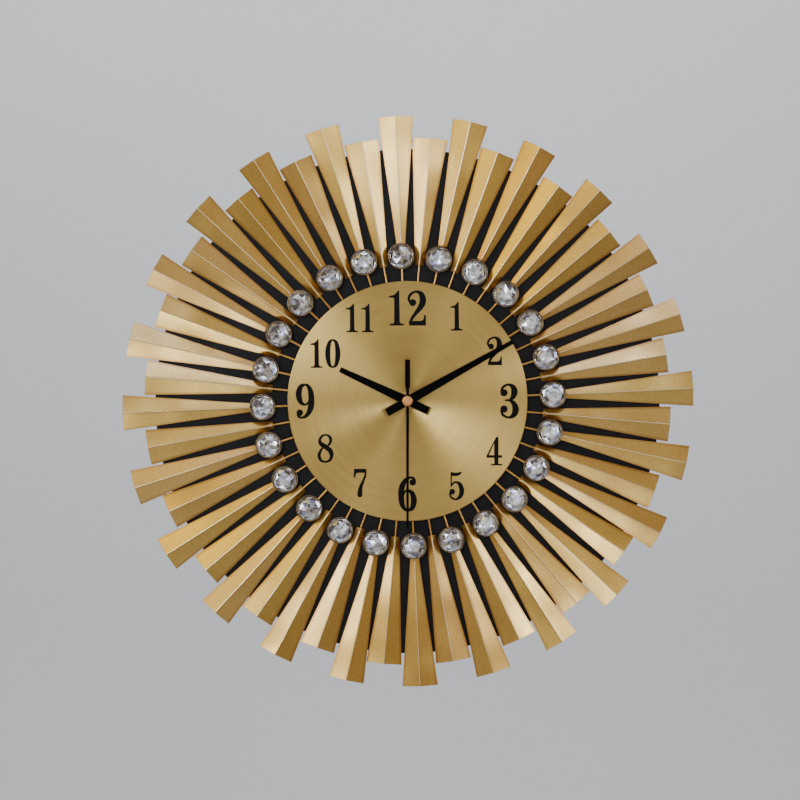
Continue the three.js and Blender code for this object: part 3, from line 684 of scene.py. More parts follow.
# ---------- rays ----------
def blade_solid(start, back, chance, under):
    """A folded blade along y: two flanks of sheet that meet in a creased ridge.

    Two vertex attributes carry painted light: one is a painted highlight along the crease, and
    the other painted shade: a painted shadow beside the crease, and painted shade along the
    edges and at the narrow end, stronger on a blade that lies under its neighbours."""
    bow = chance.uniform(-0.35, 0.35)
    skew = chance.uniform(-0.5, 0.5)  # how far the ridge wanders from the middle
    side = chance.choice((-1, 1))     # which side of the crease gets the painted shadow
    # strength of the painted shadow beside the crease
    depth = chance.uniform(0.35, 1.0)
    # strength of the painted highlight along the crease
    painted_highlight = chance.uniform(0.55, 1.0)
    bm = bmesh.new()
    # vertex attributes for the painted highlight on the crease and the painted shade
    painted_highlight_layer = bm.verts.layers.float.new("painted_crease_highlight")
    painted_shade_layer = bm.verts.layers.float.new("painted_shade")
    rings = []
    rows = [s / BLADE_SECTIONS for s in range(BLADE_SECTIONS + 1)]
    rim = [0.35 / BLADE_LENGTH, 0.8 / BLADE_LENGTH]
    for t in [0.0, rim[0]] + rows[1:-1] + [1 - rim[1], 1 - rim[0], 1.0]:
        half = (BLADE_INNER_WIDTH + (BLADE_OUTER_WIDTH - BLADE_INNER_WIDTH) * t) / 2
        y = start + BLADE_LENGTH * t
        crease = [0.0, 0.22, 0.5, 0.8, 1.2]
        flank = [half * 0.45, half * 0.8, half - 0.45, half]
        right = crease[1:] + flank
        stops = [-x for x in reversed(right)] + [0.0] + right
        ripple = noise.noise(Vector((start + bow * 40, y * 0.05, skew * 9))) * 0.10
        arch = bow * 4 * t * (1 - t) + ripple
        ridge = half * BLADE_SLOPE
        middle = skew * 4 * t * (1 - t)
        ring = []
        for skin in (BLADE_SHEET, 0.0):
            order = stops if skin else stops[::-1]
            for x in order:
                drop = math.hypot(x, BLADE_FOLD) * BLADE_SLOPE - BLADE_FOLD * BLADE_SLOPE * 0.5
                lean = max(0.0, 1 - abs(x) / half)
                z = back + skin + min(ridge - drop, ridge) + arch * lean
                vertex = bm.verts.new(Vector((x + middle * lean, y, z)) * MM)
                if skin:
                    # painted highlight on the crease
                    vertex[painted_highlight_layer] = painted_highlight if abs(x) < 0.3 else 0.0
                    # painted shade over the first 15 mm of the narrow end, beside the stones
                    painted_shade = 0.55 * max(0.0, 1 - t * BLADE_LENGTH / 15)
                    # a painted shadow beside the crease, on one side
                    if 0.6 < x * side < 1.0:
                        painted_shade = max(painted_shade, depth)
                    # painted shade along the long edges, stronger on a blade under its neighbours
                    if abs(x) > half - 0.5:
                        painted_shade = max(painted_shade, UNDER_EDGE_PAINTED_SHADE if under else EDGE_PAINTED_SHADE)
                    # painted shade on the sheet's rim, where the painted highlight stops
                    if abs(x) > half - 0.1 or t in (0.0, 1.0):
                        painted_shade = RIM_PAINTED_SHADE
                        vertex[painted_highlight_layer] = 0.0
                    vertex[painted_shade_layer] = painted_shade
                ring.append(vertex)
        rings.append(ring)
    loft(bm, rings)
    count = len(rings[0])
    for ring, flip in ((rings[0], False), (rings[-1], True)):
        for k in range(count // 2 - 1):
            quad = [ring[k], ring[k + 1], ring[count - 2 - k], ring[count - 1 - k]]
            bm.faces.new(quad[::-1] if flip else quad)
    bmesh.ops.recalc_face_normals(bm, faces=bm.faces)
    return bm


def ray(name, start, front, rod_start, rod_axis, angle, node, chance, pulled_in, under):
    """A blade with its rod, welded together: angle, radius and twist differ a little."""
    back = front - BLADE_OUTER_WIDTH / 2 * BLADE_SLOPE - BLADE_SHEET
    bm = blade_solid(start, back, chance, under)
    twist = Matrix.Rotation(math.radians(chance.uniform(-1.9, 1.9)), 4, "Y")
    pivot = Matrix.Translation(Vector((0, 0, back + 2)) * MM)
    moved(bm, pivot @ twist @ pivot.inverted())
    inward = chance.uniform(0.0, 1.0) * pulled_in
    shifted(bm, y=-inward)
    sway = chance.uniform(-0.25, 0.25)
    end = start + ROD_IN_BLADE
    line = []
    for k in range(9):
        t = k / 8
        line.append((sway * math.sin(math.pi * t), rod_start + (end - rod_start) * t, rod_axis))
    painted_shade_attr = bm.verts.layers.float["painted_shade"]
    blade_corners = set(bm.verts)
    add_to(bm, tube(line, ROD_RADIUS, 14))
    weld = start - inward + 0.6
    bead = [(0, weld - 1.7, rod_axis), (0, weld - 1.1, rod_axis), (0, weld, rod_axis),
            (0, weld + 1.4, rod_axis), (0, weld + 2.2, rod_axis)]
    add_to(bm, tube(bead, [0.7, 1.25, 1.45, 1.25, 0.7], 14))
    # painted shade on the rod and its weld bead
    for vertex in bm.verts:
        if vertex not in blade_corners:
            vertex[painted_shade_attr] = ROD_PAINTED_SHADE
    obj = piece(name, bm, GOLD, node=node, turn=angle + chance.uniform(-0.22, 0.22))
    return bevelled(obj, 0.16, 2, 55)


def ray_set(label, start_angle, start, node, rod_start, pulled_in, seed):
    chance = random.Random(seed)
    back, front = depths(node)
    axis = back + HUB_SHEET + ROD_RISE
    for k in range(RAYS):
        ray(f"{label}_ray_{k + 1:02d}", start, front - 0.15, rod_start, axis,
            start_angle + k * PITCH, node, chance, pulled_in, label == "inner")


def flat_ring(name, node, finish, rounding, steps=3, segments=96, radius=None, sheet=None):
    """A flat ring round the movement's bushing. Its size is its node's, unless it is given."""
    back, front = depths(node)
    if sheet:
        front = back + sheet
    radius = radius or radius_of(node)
    profile = [(CLEAR_HOLE, back), (radius, back), (radius, front), (CLEAR_HOLE, front)]
    piece(name, turned(fillet(profile, rounding, steps), segments, closed=True), finish,
          node=node)


def build_rays():
    flat_ring("outer_hub_plate", "outer_ray_frame", GOLD, 0.2, 3, 128, OUTER_HUB_RADIUS, HUB_SHEET)
    flat_ring("inner_hub_plate", "inner_ray_frame", GOLD, 0.2, 3, 128, INNER_HUB_RADIUS, HUB_SHEET)
    ray_set("outer", OUTER_SET_START, OUTER_BLADE_START, "outer_ray_frame",
            OUTER_HUB_RADIUS - ROD_ON_HUB, 1.3, 11)
    ray_set("inner", INNER_SET_START, INNER_BLADE_START, "inner_ray_frame",
            INNER_HUB_RADIUS - ROD_ON_HUB, 1.6, 23)


# ---------- stones ----------
def cup_solid(floor):
    profile = [(0, floor), (8.6, floor), (CUP_RADIUS, floor + CUP_DEPTH),
               (CUP_RADIUS - 0.75, floor + CUP_DEPTH), (8.2, floor + 0.8), (0, floor + 0.8)]
    return turned(fillet(profile, 0.35, 3, closed=False), 64)


def facet_rings(rings):
    """A faceted solid between rings of [radius, z, turn in steps, count] and two flat ends."""
    bm = bmesh.new()
    loops = []
    for radius, z, offset, count in rings:
        loops.append([bm.verts.new(Vector((
            radius * math.sin(math.tau * (k + offset) / count),
            radius * math.cos(math.tau * (k + offset) / count), z)) * MM)
            for k in range(count)])
    for a, b in zip(loops, loops[1:]):
        if len(a) == len(b):
            for k in range(len(a)):
                n = (k + 1) % len(a)
                bm.faces.new((a[k], a[n], b[k]))
                bm.faces.new((a[n], b[n], b[k]))
        else:
            wide, narrow = (a, b) if len(a) > len(b) else (b, a)
            for k, corner in enumerate(narrow):
                left, middle, right = (wide[(2 * k + d) % len(wide)] for d in (-1, 0, 1))
                after = narrow[(k + 1) % len(narrow)]
                bm.faces.new((left, middle, corner))
                bm.faces.new((middle, right, corner))
                bm.faces.new((corner, right, after))
    bm.faces.new(loops[0][::-1])
    bm.faces.new(loops[-1])
    bmesh.ops.recalc_face_normals(bm, faces=bm.faces)
    return bm


def crown_solid(low, high, radius):
    """Glass brilliant: table, star and kite facets, girdle facets and a shallow base."""
    girdle = low + (high - low) * GIRDLE
    return facet_rings([
        (radius * 0.40, low + 0.75, 0.0, 8),
        (radius * 0.985, girdle - 0.35, 0.0, 16),
        (radius, girdle + 0.1, 0.5, 16),
        (radius * 0.80, low + (high - low) * 0.86, 0.0, 8),
        (radius * 0.55, high, 0.5, 8),
    ])


def foil_solid(low, high, radius, chance, spin):
    """Silvered facets seen through the glass, each with a painted brightness for the stone's
    glints
    and shade: most are painted bright, some small ones at the girdle and some of those towards
    the upper left are painted dark."""
    girdle = low + (high - low) * GIRDLE
    bm = facet_rings([
        (radius * 0.30, low, 0.0, 8),
        (radius * 0.985, girdle - 0.50, 0.0, 16),
        (radius * 0.965, girdle - 0.45, 0.0, 16),
        (radius * 0.80, girdle + 0.95, 0.0, 8),
        (radius * 0.40, high - 0.75, 0.5, 8),
    ])
    bm.faces.ensure_lookup_table()
    bmesh.ops.poke(bm, faces=[bm.faces[-1]])
    layer = bm.faces.layers.float.new("painted_facet_light")
    for face in bm.faces:
        middle = face.calc_center_median() / MM
        reach = math.hypot(middle.x, middle.y) / radius
        # painted shade on facets towards the upper left of the clock
        upper_left = max(0.0, math.cos(math.atan2(middle.x, middle.y) + spin - math.radians(325)))
        luck = chance.random()
        if reach > 0.78:
            painted_facet_light = 0.05 if luck < 0.24 else 0.45 + 0.55 * chance.random()
        elif luck < 0.12 + 0.6 * upper_left ** 2 * min(1.0, reach * 2):
            painted_facet_light = 0.02 + 0.2 * chance.random()
        else:
            painted_facet_light = 0.36 + 0.64 * chance.random()
        face[layer] = painted_facet_light
    for vertex in bm.verts:
        if vertex.co.z > low * MM + 1e-5:
            vertex.co.z += chance.uniform(-1.0, 0.35) * MM
            vertex.co.x += chance.uniform(-0.35, 0.35) * MM
            vertex.co.y += chance.uniform(-0.35, 0.35) * MM
    return bm


def build_stones():
    chance = random.Random(7)
    low, high = depths("crystal_01")
    floor = depths("outer_ray_frame")[0] + HUB_SHEET + ROD_RISE + ROD_RADIUS - 0.2
    for k in range(RAYS):
        node = f"crystal_{k + 1:02d}"
        turn = OUTER_SET_START + k * PITCH + chance.uniform(-0.15, 0.15)
        out = STONE_CENTRE + chance.uniform(-0.3, 0.3)
        around = chance.uniform(0, math.tau)
        spin = Matrix.Rotation(around, 4, "Z")
        tilt = Matrix.Rotation(math.radians(chance.uniform(-2.5, 2.5)), 4, "X")
        pivot = Matrix.Translation((0, 0, (low + 3) * MM))
        lean = pivot @ tilt @ pivot.inverted() @ spin
        piece(f"cup_{k + 1:02d}", shifted(cup_solid(floor), y=out), CUP_METAL,
              node="outer_ray_frame", turn=turn)
        crown = shifted(moved(crown_solid(low + 0.3, high - 0.35, STONE_RADIUS), lean), y=out)
        piece(f"stone_{k + 1:02d}", crown, GLASS, node=node, turn=turn, smooth=1)
        # turns the painted shade to stay towards the upper left of the clock
        painted_shade_turn = math.radians(turn) - around
        back = foil_solid(low + 0.15, high, STONE_RADIUS, chance, painted_shade_turn)
        back = shifted(moved(back, lean), y=out)
        piece(f"foil_{k + 1:02d}", back, FOIL, node=node, turn=turn, smooth=1)


# ---------- dial and numerals ----------
def ball(x, y, radius):
    return [circle(radius, (x, y), 28)]


def digit_0():
    return stroke([(0.26, 0.974, 0.052), (0.385, 0.86, 0.12), (0.437, 0.5, 0.168),
                   (0.385, 0.14, 0.12), (0.26, 0.026, 0.052), (0.135, 0.14, 0.12),
                   (0.083, 0.5, 0.168), (0.135, 0.86, 0.12)], closed=True)


def digit_1():
    flag = [(0.292, 1.0), (0.252, 1.0), (0.205, 0.93), (0.13, 0.872), (0.0, 0.842),
            (0.0, 0.80), (0.10, 0.80), (0.148, 0.775), (0.148, 0.06), (0.31, 0.06)]
    serif = fillet(rectangle(0.02, 0.43, 0.0, 0.052), 0.025, 3)
    bracket = [(0.10, 0.045), (0.36, 0.045), (0.312, 0.095), (0.148, 0.095)]
    return [flag, serif, bracket]


def digit_2():
    bow = stroke([(0.075, 0.66, 0.05), (0.034, 0.77, 0.062), (0.10, 0.905, 0.062),
                  (0.26, 0.968, 0.058), (0.395, 0.89, 0.135), (0.438, 0.72, 0.172),
                  (0.385, 0.55, 0.15), (0.25, 0.37, 0.095), (0.13, 0.21, 0.072),
                  (0.065, 0.05, 0.07)])
    foot = [(0.03, 0.0), (0.525, 0.0), (0.525, 0.30), (0.475, 0.30), (0.465, 0.21),
            (0.43, 0.15), (0.36, 0.132), (0.09, 0.132)]
    return bow + [foot] + ball(0.148, 0.655, 0.100)


def digit_3():
    upper = stroke([(0.030, 0.76, 0.045), (0.09, 0.90, 0.062), (0.235, 0.970, 0.056),
                    (0.37, 0.90, 0.13), (0.412, 0.755, 0.172), (0.365, 0.61, 0.12),
                    (0.27, 0.525, 0.05)])
    lower = stroke([(0.27, 0.525, 0.05), (0.385, 0.44, 0.12), (0.445, 0.27, 0.175),
                    (0.395, 0.11, 0.14), (0.25, 0.030, 0.058), (0.09, 0.10, 0.062),
                    (0.030, 0.24, 0.05)])
    bar = [fillet(rectangle(0.14, 0.31, 0.492, 0.552), 0.028, 4)]
    return upper + lower + bar + ball(0.112, 0.738, 0.104) + ball(0.112, 0.272, 0.104)


def digit_4():
    stem = [(0.27, 0.05), (0.42, 0.05), (0.42, 0.98), (0.405, 1.0), (0.34, 1.0), (0.27, 0.86)]
    slope = [(0.34, 1.0), (0.0, 0.34), (0.0, 0.30), (0.055, 0.30), (0.30, 0.84)]
    bar = rectangle(0.0, 0.55, 0.268, 0.36)
    serif = fillet(rectangle(0.16, 0.55, 0.0, 0.055), 0.025, 3)
    return [stem, slope, fillet(bar, 0.03, 3), serif]


def digit_5():
    flag = [(0.065, 1.0), (0.13, 0.972), (0.24, 0.958), (0.36, 0.972), (0.465, 1.0),
            (0.43, 0.915), (0.34, 0.855), (0.22, 0.838), (0.11, 0.85), (0.105, 0.47),
            (0.062, 0.47)]
    bowl = stroke([(0.075, 0.475, 0.045), (0.15, 0.585, 0.055), (0.26, 0.628, 0.058),
                   (0.39, 0.55, 0.125), (0.455, 0.34, 0.16), (0.40, 0.13, 0.125),
                   (0.25, 0.030, 0.058), (0.09, 0.095, 0.058), (0.032, 0.25, 0.05)])
    return [flag] + bowl + ball(0.122, 0.295, 0.100)


def digit_6():
    back = stroke([(0.475, 0.86, 0.05), (0.44, 0.945, 0.055), (0.345, 0.974, 0.052),
                   (0.215, 0.91, 0.095), (0.108, 0.72, 0.15), (0.080, 0.47, 0.160),
                   (0.105, 0.22, 0.135), (0.18, 0.07, 0.085), (0.265, 0.027, 0.054)])
    bowl = stroke([(0.155, 0.49, 0.035), (0.185, 0.565, 0.045), (0.275, 0.603, 0.054),
                   (0.392, 0.52, 0.12), (0.444, 0.31, 0.158), (0.392, 0.10, 0.12),
                   (0.265, 0.027, 0.054)])
    return back + bowl + ball(0.412, 0.835, 0.094)


def digit_7():
    bar = [(0.012, 1.0), (0.445, 1.0), (0.445, 0.90), (0.44, 0.862), (0.16, 0.862),
           (0.10, 0.845), (0.072, 0.80), (0.062, 0.70), (0.0, 0.70)]
    leg = stroke([(0.420, 0.90, 0.05), (0.405, 0.77, 0.055), (0.335, 0.58, 0.075),
                  (0.255, 0.38, 0.115), (0.222, 0.20, 0.155), (0.217, 0.09, 0.172)])
    return [bar] + leg + ball(0.217, 0.088, 0.086)


def digit_8():
    upper = stroke([(0.285, 0.972, 0.052), (0.41, 0.915, 0.08), (0.455, 0.785, 0.095),
                    (0.41, 0.65, 0.07), (0.31, 0.57, 0.05), (0.17, 0.60, 0.12),
                    (0.085, 0.70, 0.11), (0.075, 0.80, 0.085), (0.15, 0.925, 0.07)],
                   closed=True)
    lower = stroke([(0.265, 0.028, 0.054), (0.11, 0.085, 0.085), (0.050, 0.25, 0.10),
                    (0.11, 0.43, 0.075), (0.21, 0.53, 0.06), (0.36, 0.50, 0.13),
                    (0.46, 0.38, 0.15), (0.485, 0.23, 0.11), (0.42, 0.085, 0.085)],
                   closed=True)
    waist = stroke([(0.11, 0.68, 0.10), (0.27, 0.56, 0.15), (0.44, 0.42, 0.13)])
    return upper + lower + waist


def digit_9():
    width = 0.524
    return [[(width - x, 1 - y) for x, y in outline] for outline in digit_6()]


DIGITS = {"0": digit_0, "1": digit_1, "2": digit_2, "3": digit_3, "4": digit_4,
          "5": digit_5, "6": digit_6, "7": digit_7, "8": digit_8, "9": digit_9}
DIGIT_GAP = {"10": 0.10, "11": 0.11, "12": 0.10}


def numeral_outlines(text):
    """Outlines of a numeral one unit high, centred on the origin."""
    outlines = []
    start = 0.0
    for letter in text:
        shapes = DIGITS[letter]()
        outlines += [[(x + start, y) for x, y in shape] for shape in shapes]
        start = max(x for shape in outlines for x, _ in shape) + DIGIT_GAP.get(text, 0)
    left = min(x for shape in outlines for x, _ in shape)
    right = max(x for shape in outlines for x, _ in shape)
    return [[(x - (left + right) / 2, y - 0.5) for x, y in shape] for shape in outlines]


def build_numerals():
    front = depths("dial")[1]
    for hour, (text, radius, height) in NUMERALS.items():
        angle = math.radians(30 * hour)
        cx, cy = radius * math.sin(angle), radius * math.cos(angle)
        outlines = [[(cx + x * height, cy + y * height) for x, y in shape]
                    for shape in numeral_outlines(text)]
        piece(f"numeral_{hour:02d}", prism(outlines, front - 0.02, front + 0.10), INK)


def build_dial():
    back, front = depths("dial")
    profile = [(CLEAR_HOLE, back), (DIAL_RADIUS - 0.1, back), (DIAL_RADIUS, back + 0.25),
               (DIAL_RADIUS, front - 0.30), (DIAL_RADIUS - 0.35, front - 0.03),
               (DIAL_RADIUS - 0.8, front), (CLEAR_HOLE, front)]
    piece("dial_disc", turned(fillet(profile, 0.12, 2), 256, closed=True), DIAL, node="dial")
    flat_ring("backing_plate", "backing_disc", BLACK, 0.25, 3, 256)


# ---------- hands ----------
def hand_outline(hand):
    r, t, w = hand["root"] / 2, hand["tip"] / 2, hand["tail_width"] / 2
    bar = [(-r, 0), (r, 0), (t, hand["length"]), (-t, hand["length"])]
    tail = rectangle(-w, w, -hand["tail"], 0)
    return [fillet(bar, 0.35, 3), fillet(tail, 0.4, 3)]


def second_outline(hand):
    r, t, w = hand["root"] / 2, hand["tip"] / 2, hand["tail_width"] / 2
    bar = [(-r, -SECOND_NECK - 2), (r, -SECOND_NECK - 2), (t, hand["length"]),
           (-t, hand["length"])]
    tail = [(-w, -hand["tail"]), (w, -hand["tail"]), (w, -SECOND_NECK - 0.9),
            (w - 0.9, -SECOND_NECK), (0.9 - w, -SECOND_NECK), (-w, -SECOND_NECK - 0.9)]
    return [bar, fillet(tail, 0.25, 3)]


def build_hands():
    for name, hand in HANDS.items():
        node = f"{name}_hand"
        back, front = depths(node)
        outlines = second_outline(hand) if name == "second" else hand_outline(hand)
        outlines.append(circle(HUB[name], steps=48))
        bm = prism(outlines, back, front, holes=[circle(hand["bore"], steps=32)])
        piece(f"{name}_hand_blade", bm, HAND_BLACK, body=name, node=node, turn=hand["angle"],
              bevel=0.12)
    back, front = depths("centre_cap")
    radius = radius_of("centre_cap")
    profile = [(0, back), (radius - 0.15, back), (radius, back + 0.2), (radius, back + 0.7)]
    for k in range(7):
        t = k / 6 * math.pi / 2
        profile.append((radius - 0.9 + 0.9 * math.cos(t), front - 0.75 + 0.62 * math.sin(t)))
    profile += [(radius * 0.45, front - 0.06), (0, front - 0.02)]
    piece("centre_cap_turned", turned(profile, 96), ROSE_GOLD, body="second",
          node="centre_cap", smooth=50)


def build_fixings():
    """Washers and the nut that clamp the layers on the movement's bushing."""
    flat_ring("dial_washer_turned", "dial_washer", BRASS, 0.15)
    flat_ring("rubber_washer_moulded", "rubber_washer", RUBBER, 0.3, 4)
    back, front = depths("mounting_nut")
    hexagon = circle(NUT_RADIUS, steps=6)
    bm = prism([hexagon], back, front, holes=[circle(CLEAR_HOLE, steps=48)])
    piece("mounting_nut_milled", bm, BRASS, node="mounting_nut", bevel=0.25)


# ---------- back ----------
COVER_RIM = 1.2
KNOB_CLEARANCE = 6.5
KNOB_RADIUS = 5.72
KNOB_GRIPS = 24
KNOB_GEAR_RADIUS = 3.05
KNOB_TEETH = 14
ARROW_RADIUS = 9.4
BATTERY_RADIUS = 7.0


def arrow(centre, radius, start, end, width=0.8, head=2.2):
    """Outlines of a curved arrow about a centre, in degrees anticlockwise from +x."""
    cx, cy = centre
    steps = 20
    rim = []
    for sign in (1, -1):
        order = range(steps + 1) if sign > 0 else range(steps, -1, -1)
        for k in order:
            a = math.radians(start + (end - start) * k / steps)
            r = radius + sign * width / 2
            rim.append((cx + r * math.cos(a), cy + r * math.sin(a)))
    a = math.radians(end)
    ahead = math.radians(end + math.copysign(math.degrees(head / radius), end - start))
    tip = [(cx + (radius - head * 0.6) * math.cos(a), cy + (radius - head * 0.6) * math.sin(a)),
           (cx + (radius + head * 0.6) * math.cos(a), cy + (radius + head * 0.6) * math.sin(a)),
           (cx + radius * math.cos(ahead), cy + radius * math.sin(ahead))]
    return [rim, tip]


def build_cover():
    """Rear cover of the movement: a raised rim, a sunk field, and marks for setting."""
    x0, x1, y0, y1, _, front = extent("movement_back_cover")
    knob = centre_of("setting_knob")
    hole = circle(KNOB_CLEARANCE, knob, 64)
    outline = fillet(rectangle(x0, x1, y0, y1), 1.6, 5)
    plate = prism([outline], 0.45, front, holes=[hole])
    piece("cover_plate", plate, BLACK_PLASTIC, node="movement_back_cover", bevel=0.15)
    field = fillet(rectangle(x0 + COVER_RIM, x1 - COVER_RIM, y0 + COVER_RIM, y1 - COVER_RIM),
                   1.0, 4)
    piece("cover_rim", prism([outline], 0.02, 0.5, holes=[field]), BLACK_PLASTIC, bevel=0.12)
    collar = prism([circle(KNOB_CLEARANCE + 1.2, knob, 64)], 0.1, 0.5, holes=[hole])
    piece("knob_collar", collar, BLACK_PLASTIC, bevel=0.1)
    marks = arrow(knob, ARROW_RADIUS, 100, 20) + arrow(knob, ARROW_RADIUS, 200, 280)
    piece("setting_arrows", prism(marks, 0.2, 0.5), BLACK_PLASTIC, bevel=0.05)
    ribs = [fillet(rectangle(x1 - 20, x1 - 6, y, y + 1.0), 0.45, 3)
            for y in (y0 + 6.0 + k * 2.6 for k in range(6))]
    piece("cover_vents", prism(ribs, 0.2, 0.5), BLACK_PLASTIC, bevel=0.08)


def build_knob():
    front = depths("setting_knob")[1]
    x, y = centre = centre_of("setting_knob")
    grips = circle(KNOB_RADIUS, centre, 240, KNOB_GRIPS, 0.22)
    bm = prism([grips], 0.5, 1.6)
    add_to(bm, prism([grips], 0.3, 0.55, holes=[circle(4.2, centre, 64)]))
    cross = fillet(rectangle(x - 3.0, x + 3.0, y - 0.6, y + 0.6), 0.5, 3)
    add_to(bm, prism([cross], 0.3, 0.6))
    add_to(bm, shifted(turned([(0, 1.5), (1.25, 1.5), (1.25, 10.4), (0.5, 10.4),
                               (0.5, front), (0, front)], 32), x, y))
    teeth = circle(KNOB_GEAR_RADIUS, centre, KNOB_TEETH * 8, KNOB_TEETH, 0.40, 2.2)
    add_to(bm, prism([teeth], 9.6, 10.5))
    piece("setting_knob_moulded", bm, WHITE_PLASTIC, body="setting", node="setting_knob",
          smooth=40)


def build_battery():
    x0, x1, y0, y1, z0, z1 = extent("battery")
    y, z = (y0 + y1) / 2, (z0 + z1) / 2
    r = BATTERY_RADIUS
    body = [(0, x0 + 0.05), (4.0, x0 + 0.05), (4.4, x0 + 0.3), (5.6, x0 + 0.3),
            (5.9, x0 + 0.15), (r - 0.5, x0 + 0.15), (r, x0 + 0.7), (r, x1 - 1.9),
            (r - 0.5, x1 - 1.3), (5.9, x1 - 1.35), (5.4, x1 - 1.5), (3.0, x1 - 1.45),
            (0, x1 - 1.45)]
    profile = fillet(body, 0.25, 3, closed=False)
    piece("battery_sleeve", along_x(turned(profile, 64), y, z), SLEEVE, body="battery",
          node="battery")
    button = [(0, x1 - 1.6), (2.7, x1 - 1.6), (2.7, x1 - 0.25), (2.45, x1), (0, x1)]
    piece("battery_button", along_x(turned(fillet(button, 0.2, 3, closed=False), 48), y, z),
          STEEL, body="battery")
    piece("battery_base", along_x(turned([(0, x0), (3.9, x0), (4.1, x0 + 0.25), (0, x0 + 0.25)],
                                         48), y, z), STEEL, body="battery")


def build_contacts():
    x0, x1, y0, y1, z0, z1 = extent("contact_negative")
    plate = box(x0, x0 + 0.4, y0, y1, z0, z1)
    y, z = (y0 + y1) / 2, (z0 + z1) / 2
    turns = 3.5
    helix = []
    for k in range(85):
        t = k / 84
        a = math.tau * turns * t
        r = 3.9 - 2.2 * t
        helix.append((x0 + 0.6 + (x1 - x0 - 0.9) * t, y + r * math.cos(a), z + r * math.sin(a)))
    add_to(plate, tube(helix, 0.22, 8))
    piece("battery_spring", plate, STEEL, node="contact_negative")
    x0, x1 = extent("contact_positive")[:2]
    plate = box(x0, x1, y0, y1, z0, z1)
    piece("battery_contact_plate", plate, STEEL, node="contact_positive", bevel=0.08)


def build_hanger():
    """Strap behind the backing disc, cranked back to a tab with a tapered nail hole."""
    _, half, bottom, top, tab_back, strap_front = extent("hanger")
    sheet = 0.8
    crank = 21.0                     # height where the strap steps back to its tab
    nail_y, nail_radius, slot_y = 34.5, 2.4, 27
    side = [(bottom, strap_front), (bottom, strap_front - sheet), (crank, strap_front - sheet),
            (crank, tab_back), (top, tab_back), (top, tab_back + sheet),
            (crank + sheet, tab_back + sheet), (crank + sheet, strap_front)]
    bm = prism([fillet(side, 0.6, 4)], -half, half)
    moved(bm, Matrix(((0, 0, 1, 0), (1, 0, 0, 0), (0, 1, 0, 0), (0, 0, 0, 1))))
    obj = piece("hanger_strap", bm, ZINC, node="hanger", smooth=40)
    nail = [(-5, slot_y), (5, slot_y)] + circle(nail_radius, (0, nail_y))[:17]
    corner = half + 1
    ears = [[(s * corner, top + 1), (s * corner, top - 4), (s * (half - 4.2), top + 1)]
            for s in (-1, 1)]
    cut_away(obj, prism([fillet(nail, 0.8, 4)], tab_back - 1, tab_back + sheet + 1),
             prism([circle(CLEAR_HOLE, steps=48)], strap_front - 2, strap_front + 1),
             prism(ears, tab_back - 1, tab_back + sheet + 1))
    obj.data.shade_smooth()
    obj.data.set_sharp_from_angle(angle=math.radians(40))
    bevelled(obj, 0.1, 2, 50)


def build_case_details():
    """Moulded latches and polarity marks on the movement's case."""
    x0, x1, _, y1, back, _ = extent("movement_case")
    clips = bmesh.new()
    for x in (x0 + 12, x1 - 18):
        add_to(clips, box(x, x + 6, y1 - 0.35, y1 - 0.02, back + 1.0, back + 4.5))
    piece("case_latches", clips, BLACK_PLASTIC)
    bay = depths("battery")[1] + 0.05
    y = centre_of("battery")[1]
    plus = [rectangle(18.0, 22.0, y - 0.35, y + 0.35), rectangle(19.65, 20.35, y - 2, y + 2)]
    minus = [rectangle(-22.0, -18.0, y - 0.35, y + 0.35)]
    piece("polarity_marks", prism(plus + minus, bay, bay + 0.06), WHITE_PLASTIC)


CAD_FINISH = {
    "movement_case": BLACK_PLASTIC, "middle_plate": WHITE_PLASTIC, "rotor": WHITE_PLASTIC,
    "fifth_wheel": WHITE_PLASTIC, "seconds_wheel": STEEL, "third_wheel": WHITE_PLASTIC,
    "centre_wheel": WHITE_PLASTIC, "minute_cannon": BRASS, "minute_wheel": WHITE_PLASTIC,
    "hour_wheel": BRASS, "stator": STEEL, "coil": COPPER, "circuit_board": BOARD,
    "quartz_can": STEEL,
}


def finish_cad_nodes():
    """Materials and softened edges for the CAD nodes that stay."""
    for node, finish in CAD_FINISH.items():
        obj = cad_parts[node]
        obj.data.materials.clear()
        obj.data.materials.append(finish)
        weld = obj.modifiers.new("weld", "WELD")
        weld.merge_threshold = 0.002 * MM
        bevelled(obj, 0.35 if node == "movement_case" else 0.06, 2, 40)


# ---------- stage ----------
def build_floor():
    """A pale sweep: floor below the clock, rising far behind it."""
    f = Finish("floor", (0.62, 0.62, 0.63), Roughness=0.75)
    f.colour(f.blend(f.spread(f.noise(1.2, 3), 0, 1), (0.70, 0.75, 0.84), (0.74, 0.79, 0.88)))
    f.bump(f.noise(60.0, 3), 0.1)
    drop, near, far, sweep, wall, half = -1.70, -4.0, 2.8, 1.2, 3.4, 4.5
    line = [(near, drop), (far, drop)]
    for k in range(1, 17):
        a = math.pi / 2 * k / 16
        line.append((far + sweep * math.sin(a), drop + sweep * (1 - math.cos(a))))
    line.append((far + sweep, wall))
    bm = bmesh.new()
    left = [bm.verts.new((-half, y, z)) for y, z in line]
    right = [bm.verts.new((half, y, z)) for y, z in line]
    for k in range(len(line) - 1):
        bm.faces.new((left[k], right[k], right[k + 1], left[k + 1]))
    floor = new_object("floor", bm, f.material, 60)


def area_light(name, width, height, energy, colour=(1, 1, 1)):
    light = bpy.data.lights.new(name, "AREA")
    light.shape = "RECTANGLE"
    light.size, light.size_y = width, height
    light.energy = energy
    light.color = colour
    obj = bpy.data.objects.new(name, light)
    obj.visible_camera = False
    bpy.context.scene.collection.objects.link(obj)
    return obj


